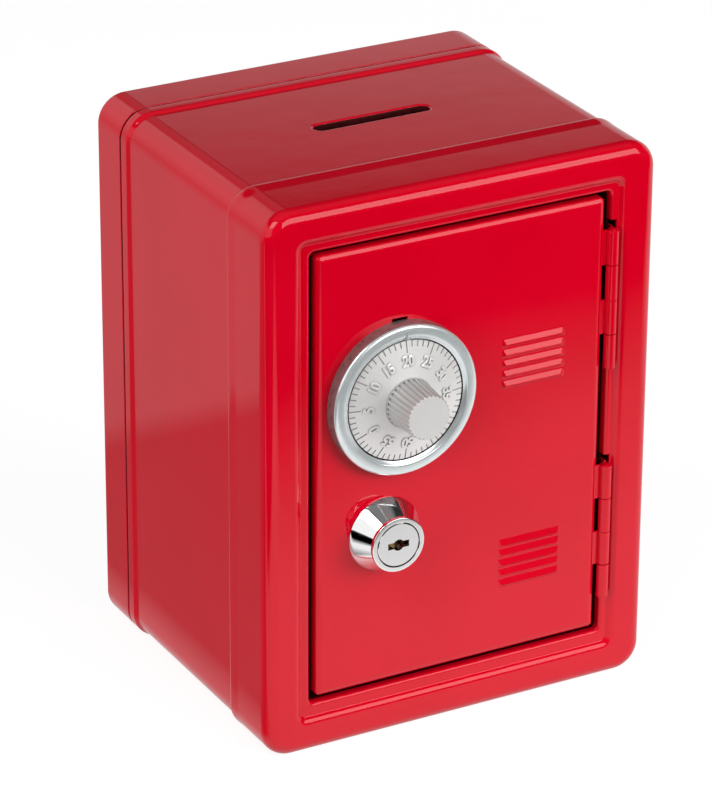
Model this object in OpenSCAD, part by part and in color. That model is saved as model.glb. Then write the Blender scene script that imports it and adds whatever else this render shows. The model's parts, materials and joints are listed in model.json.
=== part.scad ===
/* [Body] */
// Width of the safe
body_w = 120; // [104:1:200]
// Height of the safe
body_h = 161; // [150:1:260]
// Depth from the front frame to the back panel
body_d = 101; // [90:1:160]
// Corner radius of the body, seen from the front
corner_r = 8.3; // [7:0.1:12]
// Thickness of the sheet steel
sheet_t = 0.7; // [0.5:0.05:0.9]
// Gap between two sheets that slide into each other
sheet_fit = 0.1; // [0.05:0.05:0.3]

/* [Front frame] */
// Depth of the front frame's outer wall
frame_d = 22.5; // [18:0.5:30]
// Radius of the rounded front edge
front_edge_r = 4; // [2.5:0.1:6]
// Frame width beside the door opening
border_side = 14; // [12:0.5:18]
// Frame width above the door opening
border_top = 13.1; // [12:0.1:18]
// Frame width below the door opening
border_bottom = 14.6; // [12:0.1:20]
// Width of the sunk ledge beside the opening
ledge_side = 2.8; // [2.4:0.1:4]
// Width of the sunk ledge above and below the opening
ledge_end = 3.2; // [2.4:0.1:4]
// Distance over which the front face steps in
step_run = 1.9; // [1.7:0.05:2.4]
// Depth of the sunk ledge behind the front face
step_depth = 1.4; // [1.2:0.05:1.8]
// Corner radius of the step's outer edge
step_corner_r = 2.2; // [2.2:0.1:2.8]
// Bend radius of the opening's edge
opening_bend_r = 0.8; // [0.75:0.05:1]
// Corner radius of the door opening
opening_corner_r = 1.5; // [1:0.1:2]
// Depth at which the opening's turned-in edge ends
opening_flange_d = 10; // [8.5:0.5:10]

/* [Sleeve and back] */
// Step from the frame down to the sleeve
sleeve_inset = 0.8; // [0.8:0.05:1.2]
// Depth at which the sleeve starts inside the frame
sleeve_start = 14; // [11:0.5:16]
// Distance from the back panel to the start of the sleeve's flare
flare_start = 20.5; // [19:0.5:24]
// Length of the sleeve's flare
flare_run = 3.3; // [2.5:0.1:4]
// Length of the straight lip behind the flare
lip_l = 1.5; // [1:0.1:2]
// Open seam between the sleeve and the back shell
seam_gap = 0.7; // [0.4:0.1:1]
// Length of the back shell's spigot inside the sleeve
spigot_l = 9; // [7:0.5:12]
// Bend radius of the back shell's front edge
seam_bend_r = 0.8; // [0.75:0.05:1]
// Radius of the rounded rear edge
rear_edge_r = 2; // [1.5:0.1:3]

/* [Coin slot] */
// Length of the coin slot
slot_l = 35.5; // [28:0.5:40]
// Width of the coin slot
slot_w = 4.4; // [4.3:0.1:6]
// Distance of the slot's middle from the front
slot_d = 52; // [40:0.5:60]
// Bend radius of the slot's turned-in edge
slot_bend_r = 0.8; // [0.75:0.05:0.9]
// Depth of the slot's turned-in edge
slot_edge_d = 2; // [1.5:0.1:2.5]

/* [Door] */
// Gap between the opening and the door's free edge
gap_free = 1.6; // [1.4:0.1:2.5]
// Gap between the opening and the door's hinge edge
gap_hinge = 2.9; // [2.8:0.1:3.5]
// Gap above the door
gap_top = 1.2; // [1:0.1:2]
// Gap below the door
gap_bottom = 2.2; // [1:0.1:3]
// Depth of the door's face behind the frame's front
door_face_d = 0.5; // [0.3:0.05:0.7]
// Depth at which the door's turned-in edge ends
door_flange_d = 8; // [6:0.5:9]
// Corner radius of the door
door_corner_r = 1.2; // [1:0.1:2]
// Inner radius of the door's edge bend
door_bend_r = 0.05; // [0.05:0.05:0.1]

/* [Louvers] */
// Pressed ribs in each group
louver_count = 5; // [2:1:7]
// Distance between two ribs
louver_pitch = 3.06; // [2.8:0.02:3.6]
// Height of a rib
louver_w = 2.6; // [2.2:0.1:2.7]
// Height of a rib above the door's face
louver_proud = 0.7; // [0.6:0.05:0.8]
// Gap between the dial ring and the ribs, seen from the front
louver_ring_gap = 10.4; // [9:0.1:12]
// Distance of the ribs' ends from the door's hinge edge
louver_edge_gap = 11.6; // [10:0.1:13]
// Height of the middle of the upper group
upper_louver_z = 104.5; // [95:0.1:110]
// Height of the middle of the lower group
lower_louver_z = 44.2; // [40:0.1:60]

/* [Hinges] */
// Outer radius of a hinge knuckle
knuckle_r = 1.7; // [1.5:0.05:1.75]
// Length of a hinge knuckle
knuckle_l = 10; // [8:0.1:11]
// Gap between two knuckles
knuckle_gap = 0.2; // [0.1:0.05:0.4]
// Radius of a hinge pin
hinge_pin_r = 0.95; // [0.8:0.05:1]
// Depth of the hinge axis behind the frame's front
hinge_d = 0.2; // [0:0.05:0.3]
// Distance of the upper hinge's middle from the top of the body
upper_hinge_drop = 44.15; // [43:0.05:51]
// Height of the lower hinge's middle
lower_hinge_z = 46.6; // [44:0.1:54]
// Free height above a hinge in its cut-out
cutout_above = 2.3; // [1:0.1:3]
// Free height below a hinge in its cut-out
cutout_below = 0.8; // [0.6:0.1:2]
// Depth at which the frame's hinge leaf ends
leaf_end_d = 9; // [7:0.5:9]
// Thickness of the frame's hinge leaf
leaf_t = 0.7; // [0.5:0.05:0.8]

/* [Dial] */
// Distance of the dial's axis from the door's free edge
dial_in = 24.8; // [24:0.1:26]
// Height of the dial's middle
dial_z = 102.1; // [98:0.1:108]
// Outer radius of the dial ring
ring_r = 21.8; // [21.4:0.1:22.5]
// Height of the dial ring above the door
ring_h = 4.4; // [4:0.1:5.5]
// Width of the ring's rim, with its rounded edge
ring_rim_w = 3.1; // [2.7:0.1:3.1]
// Width of the slope inside the rim
ring_slope_w = 0.8; // [0.5:0.1:0.8]
// Depth of the slope inside the rim
ring_slope_d = 0.8; // [0.5:0.1:1]
// Radius of the ring's rounded outer edge
ring_edge_r = 1.1; // [0.6:0.1:1.4]
// Width of the ring from its bore to its outside
ring_w = 4.2; // [4:0.1:4.5]
// Gap between the numbered dial and its ring
dial_gap = 0.4; // [0.2:0.05:0.5]
// Height of the dial's rim above the door
dial_face_h = 3.5; // [3:0.1:3.8]
// Thickness of the numbered dial
dial_t = 1.6; // [1.2:0.1:2]
// Rise of the dial's cone from its rim to the knob
dial_rise = 2.3; // [1.5:0.1:2.6]
// Radius of the knob at its front
knob_r = 6.3; // [5.6:0.1:6.6]
// Radius of the knob at its foot
knob_foot_r = 7.1; // [6.8:0.1:7.5]
// Width of the bevel around the knob's front
knob_bevel = 0.25; // [0.2:0.05:0.4]
// Height of the knob's front above the door
knob_h = 16.5; // [14:0.1:20]
// Flutes around the knob
flute_count = 30; // [24:1:32]
// Radius of a flute
flute_r = 0.38; // [0.3:0.02:0.42]
// Height of the plain band at the knob's foot
knob_band_h = 0.4; // [0.3:0.1:1]
// Marks around the dial
mark_count = 60; // [20:10:80]
// Marks from one long mark to the next
long_mark_step = 5; // [5:5:10]
// Length of a short mark
short_mark_l = 1.7; // [1:0.1:2.2]
// Length of a long mark
long_mark_l = 3.3; // [2.6:0.1:4]
// Width of a mark
mark_w = 0.34; // [0.2:0.02:0.4]
// Depth of a mark
mark_d = 0.2; // [0.1:0.02:0.3]
// Width of a tab that holds the ring
ring_tab_w = 4.2; // [3.4:0.1:5]
// Thickness of a ring tab
ring_tab_t = 0.6; // [0.4:0.05:0.7]
// Length of a ring tab's bent end
ring_tab_foot = 3.2; // [2:0.1:3.6]

/* [Wheel pack] */
// Radius of the spindle
spindle_r = 3; // [2.6:0.1:3.2]
// Radius of the spindle's thin end
spindle_end_r = 2; // [1.6:0.1:2.2]
// Length of spindle held in the knob
spindle_grip = 11; // [6:0.5:11]
// Radius of the three wheels
wheel_r = 14; // [12.5:0.1:14.2]
// Thickness of a wheel
wheel_t = 1.2; // [1:0.05:1.3]
// Thickness of a spacer, with its play
spacer_space = 0.6; // [0.5:0.05:0.7]
// Outer radius of a spacer
spacer_r = 5.5; // [4.5:0.1:6.5]
// Space between the door and the first wheel
wheel_space = 1.4; // [1.3:0.05:1.6]
// Width of the gate cut into each wheel
gate_w = 3.4; // [3:0.1:4]
// Depth of the gate cut into each wheel
gate_d = 3; // [2:0.1:3.5]
// Radius of the wheels' pick-up pins
pickup_r = 0.8; // [0.6:0.05:0.9]
// Distance of the pick-up pins from the spindle's axis
pickup_at = 10; // [9:0.1:10.2]
// Play of a piece that turns on a shaft
run_fit = 0.05; // [0.02:0.01:0.08]
// Thickness of the bridge plate
bridge_t = 0.8; // [0.6:0.05:1]
// Distance of the bridge posts from the spindle's axis
post_at = 19; // [18.4:0.1:19.5]
// Radius of a bridge post
post_r = 2.2; // [1.8:0.05:2.4]
// Radius of a bridge screw's shank
screw_r = 0.95; // [0.8:0.05:1.1]
// Radius of a bridge screw's head
screw_head_r = 2; // [1.8:0.05:2.3]

/* [Fence lever] */
// Sideways distance of the lever's pivot from the dial's axis
pivot_dx = -18.6; // [-19.4:0.1:-18.4]
// Height of the lever's pivot above the dial's axis
pivot_dz = -2.1; // [-3:0.1:-1]
// Radius of the lever's pivot stud
stud_r = 1.5; // [1.2:0.05:1.7]
// Radius of the lever's boss
lever_boss_r = 2.6; // [2.3:0.05:2.8]
// Width of the lever's arms
lever_w = 2.4; // [2:0.1:2.6]
// Thickness of the lever
lever_t = 1.2; // [1:0.05:1.5]
// Length of the lever's tail
tail_l = 20; // [14:0.5:21]
// Gap between the fence and the wheels' rims at rest
fence_gap = 0.3; // [0.2:0.05:0.5]
// Angle of the fence around the dial, from the right
fence_angle = 125; // [122:1:128]

/* [Lock] */
// Distance of the lock's axis from the door's free edge
lock_in = 20.6; // [20:0.1:22]
// Height of the lock's middle
lock_z = 61.9; // [56:0.1:64]
// Radius of the lock's base on the door
lock_base_r = 10.85; // [10:0.05:12]
// Thickness of the base's rim
lock_rim_t = 0.4; // [0.3:0.05:0.6]
// Radius of the lock's neck
neck_r = 6.6; // [6.45:0.05:7]
// Height of the neck above the door
neck_h = 6.3; // [5.5:0.1:6.6]
// Radius of the lock's front flange
lock_head_r = 7.95; // [7.6:0.05:9]
// Height of the lock's front above the door
lock_h = 8.1; // [7.9:0.1:9]
// Thickness of the lock's front flange
lock_head_t = 1.2; // [1:0.05:1.3]
// Radius of the barrel that passes through the door
barrel_r = 7.5; // [7.2:0.05:8]
// Radius of the plug's face
plug_face_r = 6.3; // [6.1:0.05:6.35]
// Thickness of the plug's face
plug_face_t = 1.1; // [0.9:0.05:1.2]
// Radius of the plug's body
plug_r = 5.4; // [5:0.05:5.6]
// Length of the keyway, seen from the front
key_l = 6.4; // [5.5:0.1:6.6]
// Width of the keyway
key_w = 1.9; // [1.4:0.1:2]
// Depth of the keyway
key_d = 14; // [12:0.5:14]
// Radius of the round hole in the keyway's middle
key_hole_r = 1.65; // [1.4:0.05:1.8]
// Wafers in the plug
wafer_count = 4; // [2:1:5]
// Distance between two wafers
wafer_pitch = 2.2; // [2:0.1:2.4]
// Thickness of a wafer
wafer_t = 0.6; // [0.4:0.05:0.8]
// Size of the lock's nut across its flats
nut_af = 20; // [18.5:0.1:21]
// Thickness of the lock's nut
nut_t = 3.5; // [2.5:0.1:4]
// Length of the cam from the lock's axis
cam_l = 28; // [26:0.5:30]
// Width of the cam
cam_w = 8; // [7:0.1:9]
// Thickness of the cam
cam_t = 1.5; // [1.2:0.1:2]
// Gap between the opening's turned-in edge and the cam
cam_gap = 1; // [0.6:0.1:1.5]
// Side of the plug's square end
square_w = 5; // [4.5:0.1:5.4]
// Radius of the cam screw's head
cam_screw_head_r = 3.2; // [2.9:0.05:3.5]
// Radius of the cam screw's shank
cam_screw_r = 1.2; // [1:0.05:1.4]

/* [Hidden] */
$fn = 64;
// How far a cut reaches past the piece, and the play of a piece that is pressed in
cut = 1;
seat_fit = 0.02;

// The origin is the middle of the whole box's base, so the knob's reach moves the front back
knob_reach = knob_h - door_face_d;
front_y = (knob_reach - body_d) / 2;
mid_z = body_h / 2;

// Door opening and the step around it
open_w = body_w - 2 * border_side;
open_h = body_h - border_top - border_bottom;
open_mid_z = border_bottom + open_h / 2;
step_w = open_w + 2 * (ledge_side + step_run);
step_h = open_h + 2 * (ledge_end + step_run);
hinge_x = open_w / 2;

// Door outline, from the opening and the four gaps
door_w = open_w - gap_free - gap_hinge;
door_h = open_h - gap_top - gap_bottom;
door_mid_x = (gap_free - gap_hinge) / 2;
door_mid_z = open_mid_z + (gap_bottom - gap_top) / 2;
door_inside_d = door_face_d + sheet_t;
door_free_x = door_mid_x - door_w / 2;
door_hinge_x = door_mid_x + door_w / 2;

// Hinges: the door holds knuckles 1 and 3 from below, the frame holds 0 and 2
knuckle_count = 4;
knuckle_pitch = knuckle_l + knuckle_gap;
stack_l = knuckle_count * knuckle_pitch - knuckle_gap;
knuckle_play = 0.2;
cutout_end_d = hinge_d + knuckle_r + 2.5 * knuckle_play;
pin_overhang = 0.3;
upper_hinge_z = body_h - upper_hinge_drop;

// Back shell and sleeve, counted from the front
flare_d = body_d - flare_start;
lip_end_d = flare_d + flare_run + lip_l;
back_start_d = lip_end_d + seam_gap;
spigot_inset = sleeve_inset + sheet_t + sheet_fit;

// Dial ring and dial
dial_x = door_free_x + dial_in;
ring_inner_r = ring_r - ring_w;
dial_r = ring_inner_r - dial_gap;
dial_hub_r = knob_r;
dial_hub_h = 0.3;
ring_tab_play = 0.25;
ring_tab_foot_t = 0.5;
ring_tab_root = 1;
ring_tab_r = ring_r - ring_tab_t - 0.1;
index_w = 2;
index_rise = 0.3;
index_sink = 0.2;

// Louvers, between the dial ring and the hinges
louver_l = door_hinge_x - louver_edge_gap - dial_x - ring_r - louver_ring_gap;
louver_x = door_hinge_x - louver_edge_gap - louver_l / 2;

// Wheel pack, counted from the front
spindle_start_d = door_face_d - dial_hub_h - spindle_grip;
gate_angles = [20, 150, 260];
wheel_d = door_inside_d + wheel_space;
wheel_pitch = wheel_t + spacer_space;
pack_end_d = wheel_d + 3 * wheel_t + 2 * spacer_space;
pack_play = 0.5;
bridge_d = pack_end_d + 2 * pack_play;
bridge_back_d = bridge_d + bridge_t;
shoulder_d = pack_end_d + pack_play;
pickup_l = spacer_space - 2 * run_fit;
pickup_turn = 2 * asin((pickup_r + run_fit) / pickup_at);
post_angles = [30, 330, 235];
screw_head_t = 1;
screw_grip = 4;
clip_t = 0.6;
clip_r = 4;
groove_r = 0.75 * spindle_end_r;
clip_mouth = 2.4;
spindle_end_d = bridge_back_d + clip_t + 0.4;
bridge_margin = 4;

// Fence lever, in the plane of the wheels
pivot_x = dial_x + pivot_dx;
pivot_z = dial_z + pivot_dz;
lever_d = wheel_d + wheel_t + spacer_space / 2;
fence_w = 1.6;
fence_arm_w = 1.5;
fence_at = wheel_r + fence_gap + fence_w / 2;
elbow_at = fence_at + fence_w;
elbow_angle = fence_angle + 24;
stud_collar_r = 2.2;
stud_end_r = 1;
rivet_r = 1.6;
rivet_t = 0.5;

// Lock, counted from the front
lock_x = door_free_x + lock_in;
lock_front_d = door_face_d - lock_h;
cam_d = opening_flange_d + cam_gap;
barrel_end_d = cam_d - 0.1;
plug_recess = 0.05;
plug_face_fit = 0.06;
plug_chamfer = 0.15;
cam_screw_head_t = 1.4;
cam_screw_l = 5;
wafer_h = 3.2;
wafer_gap = 0.1;
wafer_start_d = lock_front_d + lock_head_t + 2.4;

// Puts the z axis of its children along the depth, through a point of the front plane
module depth_axis(x, z) {
    translate([x, front_y, z])
        rotate([-90, 0, 0])
            children();
}

// Extrudes an outline drawn in x and z, seen from the front, from one depth to another
module front_plate(from_d, to_d) {
    translate([0, front_y + to_d, 0])
        rotate([90, 0, 0])
            linear_extrude(to_d - from_d)
                children();
}

// Rectangle with round corners, seen from the front
module round_rect(w, h, r, x, z) {
    translate([x, z]) {
        square([w - 2 * r, h], center = true);
        square([w, h - 2 * r], center = true);
        for (sx = [-1, 1], sz = [-1, 1])
            translate([sx * (w / 2 - r), sz * (h / 2 - r)])
                circle(r);
    }
}

// Sweeps a profile around a rectangle with round corners. The profile's x is counted
// outward from the corner's centre, so the outline is at x = r, and its y is the depth
module around_rect(w, h, r, x, z) {
    translate([x, front_y, z])
        for (turn = [0:3]) {
            side_at = (turn % 2 == 0 ? w : h) / 2 - r;
            half_run = (turn % 2 == 0 ? h : w) / 2 - r;
            rotate([0, 90 * turn, 0]) {
                translate([side_at, 0, -half_run])
                    linear_extrude(2 * half_run)
                        children();
                translate([side_at, 0, -half_run])
                    rotate([-90, 0, 0])
                        rotate_extrude(angle = 90)
                            children();
            }
        }
}

// Part of a ring between two radii and two angles, less than 180 degrees apart
module arc_band(inner_r, outer_r, from_a, to_a) {
    reach = 2 * outer_r;
    difference() {
        circle(outer_r);
        if (inner_r > 0)
            circle(inner_r);
        rotate([0, 0, from_a])
            translate([-reach, -2 * reach])
                square(2 * reach);
        rotate([0, 0, to_a])
            translate([-reach, 0])
                square(2 * reach);
    }
}

// Sheet that steps sideways in two equal arcs, from the origin to x = run, y = -rise,
// with its visible side above
module step_band(run, rise, t) {
    turn = 2 * atan(rise / run);
    r = run / (2 * sin(turn));
    translate([run / 2, -rise / 2])
        rotate([0, 0, -turn]) {
            translate([0, -r])
                arc_band(r - t, r, 90, 90 + turn);
            translate([0, r])
                arc_band(r, r + t, 270, 270 + turn);
        }
}

// Sheet that turns away from a flat into a straight leg: the flat's visible side is at
// y = 0, the leg's visible side at x = 0, and the bend has its outer radius there
module turned_edge(r, leg_end, t) {
    translate([r, r])
        arc_band(r - t, r, 180, 270);
    translate([0, r])
        square([t, leg_end - r]);
}

// Ring shaped profile of a turned piece, in radius and depth
module turned(x, z) {
    depth_axis(x, z)
        rotate_extrude()
            children();
}

// Rounded outline of the frame's outside, set in by a distance
module body_outline(inset) {
    round_rect(body_w - 2 * inset, body_h - 2 * inset, corner_r - inset, 0, mid_z);
}

module hinge_cutout(z) {
    bottom = z - stack_l / 2 - cutout_below;
    translate([hinge_x - knuckle_r, front_y - cut, bottom])
        cube([
            2 * knuckle_r + knuckle_play,
            cutout_end_d + cut,
            stack_l + cutout_below + cutout_above
        ]);
}

module front_frame() {
    ledge_end_d = step_depth + sheet_t;
    color("crimson")
    difference() {
        union() {
            around_rect(body_w, body_h, corner_r, 0, mid_z) {
                translate([corner_r - front_edge_r, front_edge_r])
                    arc_band(front_edge_r - sheet_t, front_edge_r, 270, 360);
                translate([corner_r - sheet_t, front_edge_r])
                    square([sheet_t, frame_d - sheet_t - front_edge_r]);
                translate([corner_r - sheet_t, frame_d - sheet_t])
                    arc_band(0, sheet_t, 0, 90);
            }
            front_plate(0, sheet_t)
                difference() {
                    body_outline(front_edge_r);
                    round_rect(step_w, step_h, step_corner_r, 0, open_mid_z);
                }
            around_rect(step_w, step_h, step_corner_r, 0, open_mid_z)
                translate([step_corner_r, 0])
                    rotate([0, 0, 180])
                        step_band(step_run, step_depth, sheet_t);
            front_plate(step_depth, ledge_end_d)
                difference() {
                    round_rect(
                        step_w - 2 * step_run, step_h - 2 * step_run,
                        step_corner_r - step_run, 0, open_mid_z
                    );
                    round_rect(
                        open_w + 2 * opening_bend_r, open_h + 2 * opening_bend_r,
                        opening_corner_r + opening_bend_r, 0, open_mid_z
                    );
                }
            around_rect(open_w, open_h, opening_corner_r, 0, open_mid_z)
                translate([opening_corner_r, step_depth])
                    turned_edge(opening_bend_r, opening_flange_d - step_depth, sheet_t);
        }
        hinge_cutout(upper_hinge_z);
        hinge_cutout(lower_hinge_z);
    }
}

// Outline of the coin slot, seen from above and widened by a distance
module slot_outline(grow) {
    square([slot_l - slot_w, slot_w + 2 * grow], center = true);
    for (side = [-1, 1])
        translate([side * (slot_l - slot_w) / 2, 0])
            circle(slot_w / 2 + grow);
}

// Turned-in edge of the coin slot, drawn at the slot's middle with z = 0 on the panel
module slot_edge() {
    run = slot_l - slot_w;
    for (side = [0, 180])
        rotate([0, 0, side]) {
            translate([run / 2, 0, 0])
                rotate([0, 0, -90])
                    rotate_extrude(angle = 180)
                        slot_edge_profile();
            translate([-run / 2, 0, 0])
                rotate([90, 0, 90])
                    linear_extrude(run)
                        slot_edge_profile();
        }
}

module slot_edge_profile() {
    translate([slot_w / 2, 0])
        mirror([0, 1])
            turned_edge(slot_bend_r, slot_edge_d, sheet_t);
}

module body_sleeve() {
    side = corner_r - sleeve_inset;
    top_z = body_h - sleeve_inset;
    slot_y = front_y + slot_d;
    color("firebrick") {
        difference() {
            around_rect(body_w, body_h, corner_r, 0, mid_z)
                polygon([
                    [side - sheet_t, sleeve_start],
                    [side, sleeve_start],
                    [side, flare_d],
                    [corner_r, flare_d + flare_run],
                    [corner_r, lip_end_d],
                    [corner_r - sheet_t, lip_end_d],
                    [corner_r - sheet_t, flare_d + flare_run],
                    [side - sheet_t, flare_d]
                ]);
            translate([0, slot_y, top_z - sheet_t - cut])
                linear_extrude(sheet_t + 2 * cut)
                    slot_outline(slot_bend_r);
        }
        translate([0, slot_y, top_z])
            slot_edge();
    }
}

module back_shell() {
    spigot_out = corner_r - spigot_inset;
    color("crimson") {
        around_rect(body_w, body_h, corner_r, 0, mid_z) {
            translate([spigot_out - sheet_t, back_start_d - spigot_l])
                square([sheet_t, spigot_l + sheet_t]);
            translate([spigot_out - sheet_t, back_start_d])
                square([spigot_inset + sheet_t - seam_bend_r, sheet_t]);
            translate([corner_r - seam_bend_r, back_start_d + seam_bend_r])
                arc_band(seam_bend_r - sheet_t, seam_bend_r, 270, 360);
            translate([corner_r - sheet_t, back_start_d + seam_bend_r])
                square([sheet_t, body_d - rear_edge_r - back_start_d - seam_bend_r]);
            translate([corner_r - rear_edge_r, body_d - rear_edge_r])
                arc_band(rear_edge_r - sheet_t, rear_edge_r, 0, 90);
        }
        front_plate(body_d - sheet_t, body_d)
            body_outline(rear_edge_r);
    }
}

// One hinge knuckle, counted from the bottom of its hinge
module knuckle(hinge_z, index) {
    bottom = hinge_z - stack_l / 2 + index * knuckle_pitch;
    translate([hinge_x, front_y + hinge_d, bottom])
        children();
}

module knuckle_bore(hinge_z) {
    translate([hinge_x, front_y + hinge_d, hinge_z - stack_l / 2 - cut])
        cylinder(r = hinge_pin_r + run_fit, h = stack_l + 2 * cut);
}

module frame_leaf(hinge_z) {
    leaf_x = open_w / 2 + sheet_t;
    color("firebrick")
    difference() {
        union() {
            for (index = [0, 2])
                knuckle(hinge_z, index) {
                    cylinder(r = knuckle_r, h = knuckle_l);
                    translate([leaf_x - hinge_x, 0, 0])
                        cube([leaf_t, leaf_end_d - hinge_d, knuckle_l]);
                }
            translate([leaf_x, front_y + cutout_end_d, hinge_z - stack_l / 2])
                cube([leaf_t, leaf_end_d - cutout_end_d, stack_l]);
        }
        knuckle_bore(hinge_z);
    }
}

module upper_hinge_leaf() {
    frame_leaf(upper_hinge_z);
}

module lower_hinge_leaf() {
    frame_leaf(lower_hinge_z);
}

module hinge_pin(hinge_z) {
    color("silver")
        translate([hinge_x, front_y + hinge_d, hinge_z - stack_l / 2 - pin_overhang])
            cylinder(r = hinge_pin_r, h = stack_l + 2 * pin_overhang);
}

module upper_hinge_pin() {
    hinge_pin(upper_hinge_z);
}

module lower_hinge_pin() {
    hinge_pin(lower_hinge_z);
}

// Round-ended rib with a circular section, cut off by the sheet's own face
module rib(r, axis_d, z) {
    run = louver_l - louver_w;
    translate([louver_x, front_y + axis_d, z]) {
        translate([-run / 2, 0, 0])
            rotate([0, 90, 0])
                cylinder(r = r, h = run);
        for (side = [-1, 1])
            translate([side * run / 2, 0, 0])
                sphere(r);
    }
}

function louver_heights() = [
    for (group_z = [upper_louver_z, lower_louver_z], index = [0:louver_count - 1])
        group_z + (index - (louver_count - 1) / 2) * louver_pitch
];

module door_panel() {
    rib_r = (pow(louver_w / 2, 2) + pow(louver_proud, 2)) / (2 * louver_proud);
    rib_axis_d = door_face_d + rib_r - louver_proud;
    bend_r = door_bend_r + sheet_t;
    tab_x = door_hinge_x - 2 * bend_r;
    tab_reach = hinge_x - (hinge_pin_r + knuckle_r) / 2 - tab_x;
    slot_in = ring_r - ring_tab_t - ring_tab_play;
    color("crimson")
    difference() {
        union() {
            front_plate(door_face_d, door_inside_d)
                round_rect(
                    door_w - 2 * bend_r, door_h - 2 * bend_r,
                    door_corner_r - bend_r, door_mid_x, door_mid_z
                );
            around_rect(door_w, door_h, door_corner_r, door_mid_x, door_mid_z) {
                translate([door_corner_r - bend_r, door_face_d + bend_r])
                    arc_band(door_bend_r, bend_r, 270, 360);
                translate([door_corner_r - sheet_t, door_face_d + bend_r])
                    square([sheet_t, door_flange_d - door_face_d - bend_r]);
            }
            intersection() {
                for (z = louver_heights())
                    rib(rib_r, rib_axis_d, z);
                front_plate(door_face_d - 2 * louver_proud, door_inside_d)
                    round_rect(
                        door_w - 2 * bend_r, door_h - 2 * bend_r,
                        door_corner_r - bend_r, door_mid_x, door_mid_z
                    );
            }
            for (hinge_z = [upper_hinge_z, lower_hinge_z], index = [1, 3])
                knuckle(hinge_z, index) {
                    cylinder(r = knuckle_r, h = knuckle_l);
                    translate([tab_x - hinge_x, door_face_d - hinge_d, 0])
                        cube([tab_reach, sheet_t, knuckle_l]);
                }
        }
        for (z = louver_heights())
            rib(rib_r - sheet_t, rib_axis_d, z);
        for (hinge_z = [upper_hinge_z, lower_hinge_z])
            knuckle_bore(hinge_z);
        depth_axis(dial_x, dial_z)
            cylinder(r = spindle_r + run_fit, h = door_inside_d + cut);
        for (side = [0, 180])
            depth_axis(dial_x, dial_z)
                rotate([0, 0, side])
                    translate([-ring_tab_w / 2 - ring_tab_play, slot_in, 0])
                        cube([
                            ring_tab_w + 2 * ring_tab_play,
                            ring_tab_t + 4 * ring_tab_play,
                            door_inside_d + cut
                        ]);
        depth_axis(lock_x, lock_z)
            cylinder(r = barrel_r + run_fit, h = door_inside_d + cut);
    }
}

module dial_ring() {
    face_d = door_face_d - ring_h;
    slope_r = ring_r - ring_rim_w;
    seat_r = slope_r - ring_slope_w;
    color("lightgray") {
        turned(dial_x, dial_z) {
            polygon([
                [ring_inner_r, door_face_d],
                [ring_inner_r, face_d + ring_slope_d],
                [seat_r, face_d + ring_slope_d],
                [slope_r, face_d],
                [ring_r - ring_edge_r, face_d],
                [ring_r - ring_edge_r, face_d + ring_edge_r],
                [ring_r, face_d + ring_edge_r],
                [ring_r, door_face_d]
            ]);
            translate([ring_r - ring_edge_r, face_d + ring_edge_r])
                arc_band(0, ring_edge_r, 270, 360);
        }
        depth_axis(dial_x, dial_z)
            for (side = [0, 180])
                rotate([0, 0, side])
                    ring_tab();
        ring_index(face_d);
    }
}

// Tab that passes through the door and folds in behind it
module ring_tab() {
    root_d = door_face_d - ring_tab_root;
    translate([-ring_tab_w / 2, ring_tab_r, root_d])
        cube([ring_tab_w, ring_tab_t, door_inside_d + ring_tab_foot_t - root_d]);
    translate([-ring_tab_w / 2, ring_tab_r - ring_tab_foot, door_inside_d])
        cube([ring_tab_w, ring_tab_foot + ring_tab_t, ring_tab_foot_t]);
}

// Pointed ridge across the top of the ring, which the dial is read against
module ring_index(face_d) {
    base_d = face_d + ring_slope_d + index_sink;
    translate([dial_x, front_y, dial_z + ring_inner_r])
        linear_extrude(ring_r - ring_edge_r - ring_inner_r)
            polygon([[0, face_d - index_rise], [index_w / 2, base_d], [-index_w / 2, base_d]]);
}

// Numbered cone and its knob in one piece, with a short hub behind
module dial_knob() {
    face_d = door_face_d - dial_face_h;
    foot_d = face_d - dial_rise;
    knob_front_d = door_face_d - knob_h;
    side_l = foot_d - knob_front_d;
    taper = atan((knob_foot_r - knob_r) / side_l);
    cone = atan(dial_rise / (dial_r - knob_foot_r));
    color("gainsboro")
    difference() {
        turned(dial_x, dial_z)
            polygon([
                [0, knob_front_d],
                [knob_r - knob_bevel, knob_front_d],
                [knob_r, knob_front_d + knob_bevel],
                [knob_foot_r, foot_d],
                [dial_r, face_d],
                [dial_r, face_d + dial_t],
                [dial_hub_r, face_d + dial_t],
                [dial_hub_r, door_face_d - dial_hub_h],
                [0, door_face_d - dial_hub_h]
            ]);
        depth_axis(dial_x, dial_z) {
            for (index = [0:flute_count - 1])
                rotate([0, 0, index * 360 / flute_count])
                    translate([knob_r, 0, knob_front_d])
                        rotate([0, taper, 0])
                            translate([0, 0, -2 * cut])
                                cylinder(r = flute_r, h = side_l - knob_band_h + 2 * cut);
            for (index = [0:mark_count - 1]) {
                long = index % long_mark_step == 0;
                mark_l = long ? long_mark_l : short_mark_l;
                rotate([0, 0, index * 360 / mark_count])
                    translate([0, dial_r, face_d])
                        rotate([cone, 0, 0])
                            translate([-mark_w / 2, -mark_l, -cut])
                                cube([mark_w, mark_l + cut, mark_d + cut]);
            }
            translate([0, 0, spindle_start_d])
                cylinder(r = spindle_r + seat_fit, h = spindle_grip + cut);
        }
    }
}

module dial_spindle() {
    groove_d = bridge_back_d + run_fit;
    color("silver")
    turned(dial_x, dial_z)
        polygon([
            [0, spindle_start_d],
            [spindle_r, spindle_start_d],
            [spindle_r, shoulder_d],
            [spindle_end_r, shoulder_d],
            [spindle_end_r, groove_d],
            [groove_r, groove_d],
            [groove_r, groove_d + clip_t],
            [spindle_end_r, groove_d + clip_t],
            [spindle_end_r, spindle_end_d],
            [0, spindle_end_d]
        ]);
}

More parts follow.
